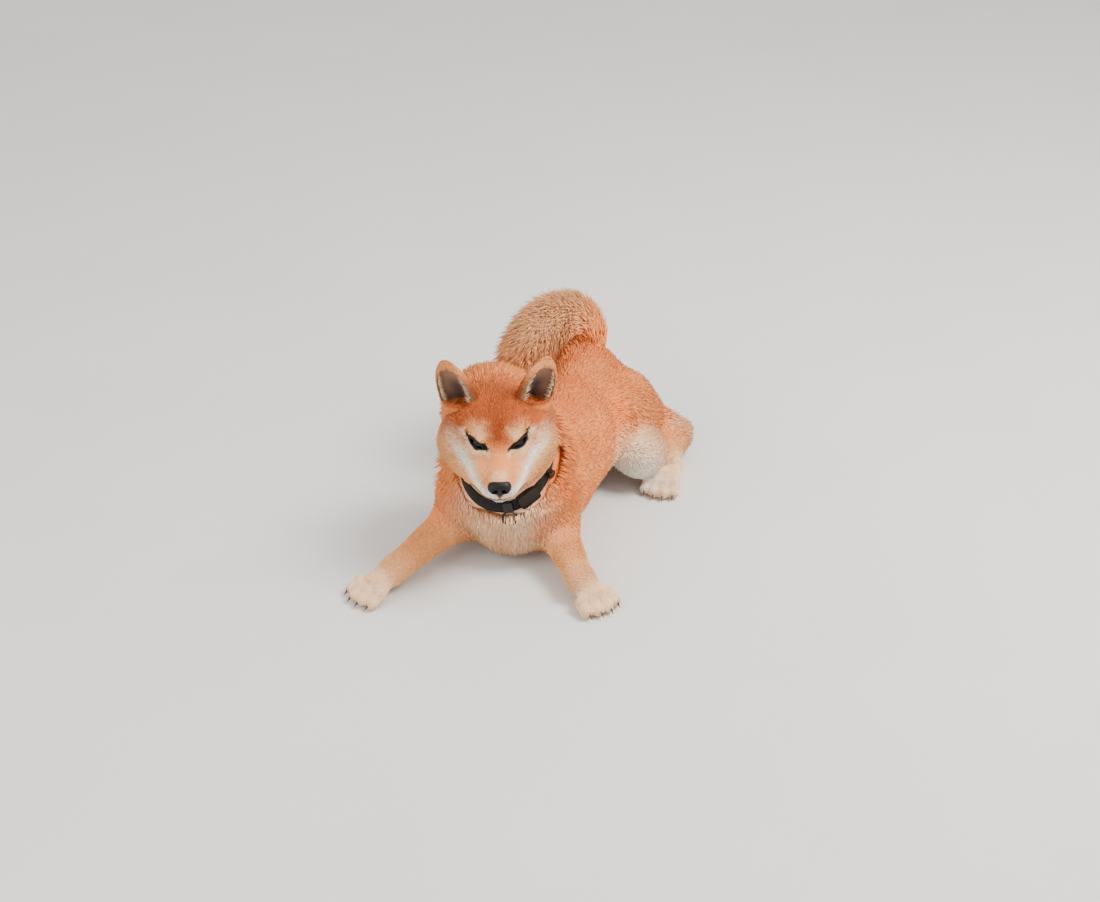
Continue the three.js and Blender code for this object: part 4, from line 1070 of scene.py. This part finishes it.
# Ears: a shell with a rolled edge, its cup open to the front
EAR_BASE, EAR_TIP, EAR_TURN, EAR_WIDTH, EAR_WALL = (47, 124, 45), (66, 117, 123), 26, 55, 4
EAR_DEPTH = 17
EAR_STATIONS, EAR_AROUND = 40, 56
EAR_TUFTS, CUP_HAIRS = 110.0, 620  # on the back per cm2, and along each cup's edges
CUP_TAN = srgb(150, 118, 96)


def ear_axes(side):
    base, tip = arr(side * EAR_BASE[0], *EAR_BASE[1:]), arr(side * EAR_TIP[0], *EAR_TIP[1:])
    up = tip - base
    face = arr(side * sin(rad(EAR_TURN)), -cos(rad(EAR_TURN)), 0)
    across = unit(np.cross(up, face))
    return base, up, across, unit(np.cross(up, across))


def ear_local(x, side):
    """Shares of the ear's height, of half its width and of its depth, for points of the dog's frame."""
    base, up, across, back = ear_axes(side)
    rel = to_head(x) - base
    return (rel @ up) / (up @ up), (rel @ across) / (EAR_WIDTH / 2), (rel @ back) / EAR_DEPTH


def ear_shape(t):
    """Half width and depth at a share of the height, as shares of those at the base."""
    t = np.maximum(0, t)
    return (1 - t**2.8) ** 0.62, (1 - 0.72 * t) * (1 - t**6)


def ear_surface(side, wide, deep, forward, start, end):
    base, up, across, back = ear_axes(side)
    t = lerp(start, end, (np.arange(EAR_STATIONS) / (EAR_STATIONS - 1)) ** 0.85)[:, None]
    a = (2 * pi * np.arange(EAR_AROUND) / EAR_AROUND)[None]
    width, depth = ear_shape(t)
    sideways, backwards = wide * width * np.cos(a), deep * depth * np.sin(a) + forward * (1 - t)
    return from_head(base + up * t[..., None] + across * sideways[..., None] + back * backwards[..., None])


def boolean_cut(target, cutter):
    b = target.modifiers.new("cut", "BOOLEAN")
    b.object, b.operation, b.solver = cutter, "DIFFERENCE", "EXACT"
    bpy.context.view_layer.update()
    me = bpy.data.meshes.new_from_object(target.evaluated_get(bpy.context.evaluated_depsgraph_get()))
    target.modifiers.clear()
    target.data = me
    bpy.data.objects.remove(cutter)


def ear_shell(name, side, outside):
    inside = ear_surface(side, EAR_WIDTH / 2 - EAR_WALL, EAR_DEPTH - 1, -10, -0.02, 0.86)
    shell = lofted(f"ear_{name}_shell", outside)
    boolean_cut(shell, lofted("cutter", inside))
    co = np.empty(len(shell.data.vertices) * 3, np.float32)
    shell.data.vertices.foreach_get("co", co)
    co = co.reshape(-1, 3) * 1000 - OFFSET
    t, sideways, _ = ear_local(co, side)
    # the cup is tan at its edges, with painted shade down its deep middle, and the ear's foot is as the head
    to_cup = np.linalg.norm(co[:, None] - inside.reshape(-1, 3)[None, ::3], axis=2).min(1)
    in_cup = 1 - ramp(to_cup, 2.5, 5)
    c = np.tile(RUST, (len(co), 1)) * (1 + 0.12 * noise(co, 12)[:, :1])
    c = paint(c, CUP_TAN, 0.9 * in_cup)
    # painted shade: darker down the middle of the cup towards its foot, where the hollow is deepest
    c = paint(c, CUP_SHADE, 0.95 * in_cup * np.exp(-((sideways / 0.55) ** 2)) * ramp(-t, -0.72, -0.35))
    colour_points(shell, paint(c, HEAD_RED, ramp(-t, -0.08, 0.02)))
    for p in shell.data.polygons:
        p.use_smooth = True
    finish_piece(shell, SKIN, "coat_ear", "ear_" + name)


def ear_coat(side, outside):
    """Fur over the back and the edges, lying towards the tip."""
    ring_points, ring_faces = outside.reshape(-1, 3), loft_faces(EAR_STATIONS, EAR_AROUND)
    if side < 0:
        ring_faces = ring_faces[:, ::-1]
    base, up, _, _ = ear_axes(side)
    n_out = normals_of(ring_points, ring_faces)
    if ((ring_points - from_head(base + up * 0.4)) * n_out).sum() < 0:
        n_out = -n_out
    t, sideways, behind = ear_local(ring_points, side)
    edge = np.exp(-(((behind + 0.1) / 0.35) ** 2)) * ramp(t, 0, 0.1)
    covered = np.where((behind > -0.28) | (t < 0.12), EAR_TUFTS, 0.0)
    put = scatter(ring_points, ring_faces, covered * ramp(t, -0.16, -0.04))
    where, normal = put(ring_points), unit(put(n_out))
    t, edge, sideways = put(t), put(edge), put(sideways)
    k = len(where)
    c = np.tile(RUST, (k, 1)) * (1 + 0.12 * noise(where, 12)[:, :1])
    c = paint(c, SAND, 0.5 * edge + 0.3 * ramp(t, 0.5, 0.95))
    c = paint(c, DEEP, 0.75 * ramp(-side * sideways, 0.0, 0.5) * ramp(-t, -0.75, -0.3))
    c = paint(c, HEAD_RED, ramp(-t, -0.1, 0.02))
    size = lerp(6.5, 3.6, np.clip(t, 0, 1)) * (1 + 0.3 * edge)
    toward = np.tile(unit(up @ HEAD_TURN.T), (k, 1))
    lift = np.tile([20.0, 6.0], (k, 1))
    uv = np.stack([np.clip(t, 0, 1) * 0.9 + 0.05, sideways * 0.2 + 0.5 - 0.25 * side], 1)
    return *tufts(where, normal, toward, size, lift, np.full(k, 1.15), c), uv


def cup_hairs(side):
    """Long pale hairs that grow from the cup's edges across it."""
    base, up, across, back = ear_axes(side)
    k = CUP_HAIRS
    t, which = rng.uniform(-0.02, 0.8, k), rng.choice([-1, 1], k, p=[0.5, 0.5])
    width, depth = ear_shape(t)
    behind = rng.uniform(-0.5, 0.05, k)
    sideways = which * ((EAR_WIDTH / 2 - 1.5) * width) * np.sqrt(1 - behind**2)
    origin = base + up * t[:, None] + across * sideways[:, None]
    origin += back * (EAR_DEPTH * depth * behind)[:, None]
    lean = unit(-across * which[:, None] * 0.75 + up / np.linalg.norm(up) * 0.75 - back * 0.25)
    c = paint(np.tile(CREAM, (k, 1)), OLIVE, rng.uniform(0.1, 0.75, k))
    size = 13 * (1 - 0.55 * np.clip(t, 0, 1))
    normal = np.tile(unit(-back @ HEAD_TURN.T), (k, 1))
    lift = np.tile([14.0, 4.0], (k, 1))
    uv = np.stack([np.clip(t, 0, 1) * 0.9 + 0.05, 0.45 + 0.1 * (side > 0) + 0.04 * which], 1)
    return *tufts(from_head(origin), normal, lean @ HEAD_TURN.T, size, lift, np.full(k, 1.0), c), uv


ear_tufts = []
for name, side in (("left", 1), ("right", -1)):
    outside = ear_surface(side, EAR_WIDTH / 2, EAR_DEPTH, 0, -0.25, 0.985)
    ear_shell(name, side, outside)
    ear_tufts += [ear_coat(side, outside), cup_hairs(side)]
coat_piece("coat_ears", *(np.concatenate(v) for v in zip(*ear_tufts)), "coat_ear")


# Eyes and lids
def tube(name, line, radius, closed=True, around=10):
    """A rounded strip along a line, given as points and one or many radii."""
    radius = np.broadcast_to(radius, len(line))[:, None, None]
    ahead = unit(np.roll(line, -1, 0) - np.roll(line, 1, 0) if closed else np.gradient(line, axis=0))
    u = unit(np.cross(ahead, unit(line - line.mean(0) + 1e-3)))
    v = np.cross(ahead, u)
    a = (2 * pi * np.arange(around) / around)[None, :, None]
    return lofted(name, line[:, None] + radius * (np.cos(a) * u[:, None] + np.sin(a) * v[:, None]), closed)


def eyeball(name, eye, rings=40, around=56):
    """A ball with a clear bulge over the iris, turned to the gaze."""
    polar = np.linspace(0.0, pi, rings)[:, None, None]
    a = (2 * pi * np.arange(around) / around)[None, :, None]
    r = EYE_RADIUS - 0.15 + 0.9 * (1 - ramp(polar, 0.35, 0.75))
    ahead = eye["gaze"]
    across = unit(np.cross(ahead, [0, 0, 1]))
    up = np.cross(across, ahead)
    wide = r * np.sin(polar)
    p = r * np.cos(polar) * ahead + wide * np.cos(a) * across + wide * np.sin(a) * up
    return lofted(name, from_head(eye["centre"] + p))


RIM_POINTS, RIM_RADIUS = 40, 1.25
for name, eye in EYES.items():
    eye["gaze"] = unit(eye["out"] + arr(0, -0.35, -0.18))
    finish_piece(eyeball("eyeball_" + name, eye), iris_material(eye), "eye", "eye_" + name)
    there = np.linspace(-1, 1, RIM_POINTS, endpoint=False)
    along = np.concatenate([there, -there])
    half, opening = EYE_SLIT
    u = along * half / 2
    v = np.repeat([1, -1], RIM_POINTS) * opening / 2 * (1 - along**2)
    w = np.sqrt(np.maximum((EYE_RADIUS + 1.5) ** 2 - (u * 0.66) ** 2 - v**2, 9))
    line = eye["centre"] + u[:, None] * 0.86 * eye["x"] + v[:, None] * eye["up"] + w[:, None] * eye["out"]
    finish_piece(tube("eyelid_rim_" + name, from_head(line), RIM_RADIUS), RIM, "eye")


# Nose pad, from the same solids as in the part's source
DROP = 4
NOSE_PAD = (14.5, 10.5, 10)
CREASE_WIDTH, CREASE_DEPTH = 1.0, 0.9
nose_prims = [
    ball([0, NOSE_PAD[1] - 1, 2 - DROP], NOSE_PAD, 4, "muzzle", [0, 1, 0]),
    *mirrored(ball([8, 8, 0.5 - DROP], [7.2, 8.6, 7.8], 4, "muzzle", [0, 1, 0])),
    taper([0, 3.4, -5 - DROP], [0, 6.5, -12 - DROP], 4, 3, 4, "muzzle"),
]
nostrils = [
    *mirrored(taper([4.8, -3, 1 - DROP], [5.6, 7, -DROP], 2.9, 2.2, 1, "muzzle")),
    *mirrored(taper([6.5, 0, -DROP], [13, 4, -3 - DROP], 2.4, 1.5, 2, "muzzle")),
]
nose_axes = [np.arange(lo, hi + 0.1, 0.6) for lo, hi in ((-19, 19), (-6, 22), (-24, 12))]
g = np.stack(np.meshgrid(*nose_axes, indexing="ij"), -1)
pad = blended(nose_prims, g)
pad = np.maximum(pad, -np.maximum(np.abs(g[..., 0]) - CREASE_WIDTH / 2, pad + CREASE_DEPTH))
pad = -smooth_min(-pad, blended(nostrils, g), 1.2)
pad_points, pad_quads = largest_part(*surface_net(pad, *nose_axes))
pad_points = 0.5 * pad_points + 0.5 * neighbours_mean(pad_points, pad_quads)
finish_piece(mesh_object("nose_pad", placed(from_head(pad_points)), pad_quads), NOSE, "nose_leather", "nose")

last = len(MOUTH) - 1
lip_radius = np.interp(np.arange(last + 1), [0, 6, last - 6, last], [0.4, 1.2, 1.2, 0.4])
lip = tube("lips", from_head(MOUTH + arr(0, 0.9, 0)), lip_radius, closed=False)
finish_piece(lip, LIP, "nose_leather")


# Collar
def strap_piece(stations=180):
    """The webbing: rounded edges, a shallow rib along each side."""
    half, t, edge = COLLAR_WIDTH / 2, COLLAR_THICK, 0.8
    side = [
        (half - edge, 0), (half, edge), (half, t - edge), (half - edge, t),
        (half - 2.2, t), (half - 2.8, t - 0.45), (half - 3.4, t),
    ]
    over = [(-a, o) for a, o in side]
    section = [over[0], *side, *over[:0:-1]]
    rings = []
    for i in range(stations):
        here, _, across, out = collar_frame(2 * pi * i / stations)
        rings.append([here + a * across + o * out for a, o in section])
    return lofted("collar_strap", np.array(rings), closed=True)


finish_piece(strap_piece(), STRAP, "collar_webbing", "collar")
KEPT_NODES = {"claw": CLAW, "collar_stud": METAL, "collar_": PLASTIC}  # drawn as the part has them
for n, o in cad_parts.items():
    use = next((m for start, m in KEPT_NODES.items() if n.startswith(start)), None)
    if use:
        o.data.materials.clear()
        o.data.materials.append(use)


# Floor, light and camera
FLOOR = [[-6, -6], [6, -6], [6, 8], [-6, 8]]
FLOOR_BELOW = 0.0004
floor = mesh_object("floor", np.array([[x, y, -FLOOR_BELOW] for x, y in FLOOR]), np.array([[0, 1, 2, 3]]))
floor.data.materials.append(
    matter("studio_floor", srgb(222, 221, 218), srgb(212, 211, 208), scale=3, rough=0.85, bump=0.05, fine=200)
)

world = bpy.data.worlds.new("studio")
bpy.context.scene.world = world
world.use_nodes = True
sky = world.node_tree.nodes["Background"].inputs
sky["Color"].default_value = (1.0, 0.985, 0.97, 1)
sky["Strength"].default_value = 1.12


def looking(o, x, y, z, at):
    bpy.context.scene.collection.objects.link(o)
    o.matrix_world = Matrix([[*x], [*y], [*z]]).transposed().to_4x4()
    o.location = at


def area(name, at, to, size, power, colour):
    data = bpy.data.lights.new(name, "AREA")
    data.size, data.energy, data.color = size, power, colour
    z = unit(arr(*at) - arr(*to))
    x = unit(np.cross([0, 0, 1], z))
    looking(bpy.data.objects.new(name, data), x, np.cross(z, x), z, at)


area("key", (1.5, 0.3, 2.3), (0, 0, 0.1), 1.1, 108, (1, 0.97, 0.92))
area("fill", (-1.2, -1.9, 1.5), (0, 0, 0.15), 1.6, 32, (1, 0.97, 0.94))

CAMERA = placed([676.5, -1635.0, 1359.9])
RIGHT, UP, BACK = unit(arr(0.94, 0.342, 0)), unit(arr(-0.181, 0.498, 0.848)), unit(arr(0.29, -0.797, 0.53))
data = bpy.data.cameras.new("camera")
data.sensor_width, data.sensor_fit, data.lens = 36, "HORIZONTAL", 54
data.clip_start = 0.05
camera = bpy.data.objects.new("camera", data)
looking(camera, RIGHT, UP, BACK, CAMERA)
bpy.context.scene.camera = camera

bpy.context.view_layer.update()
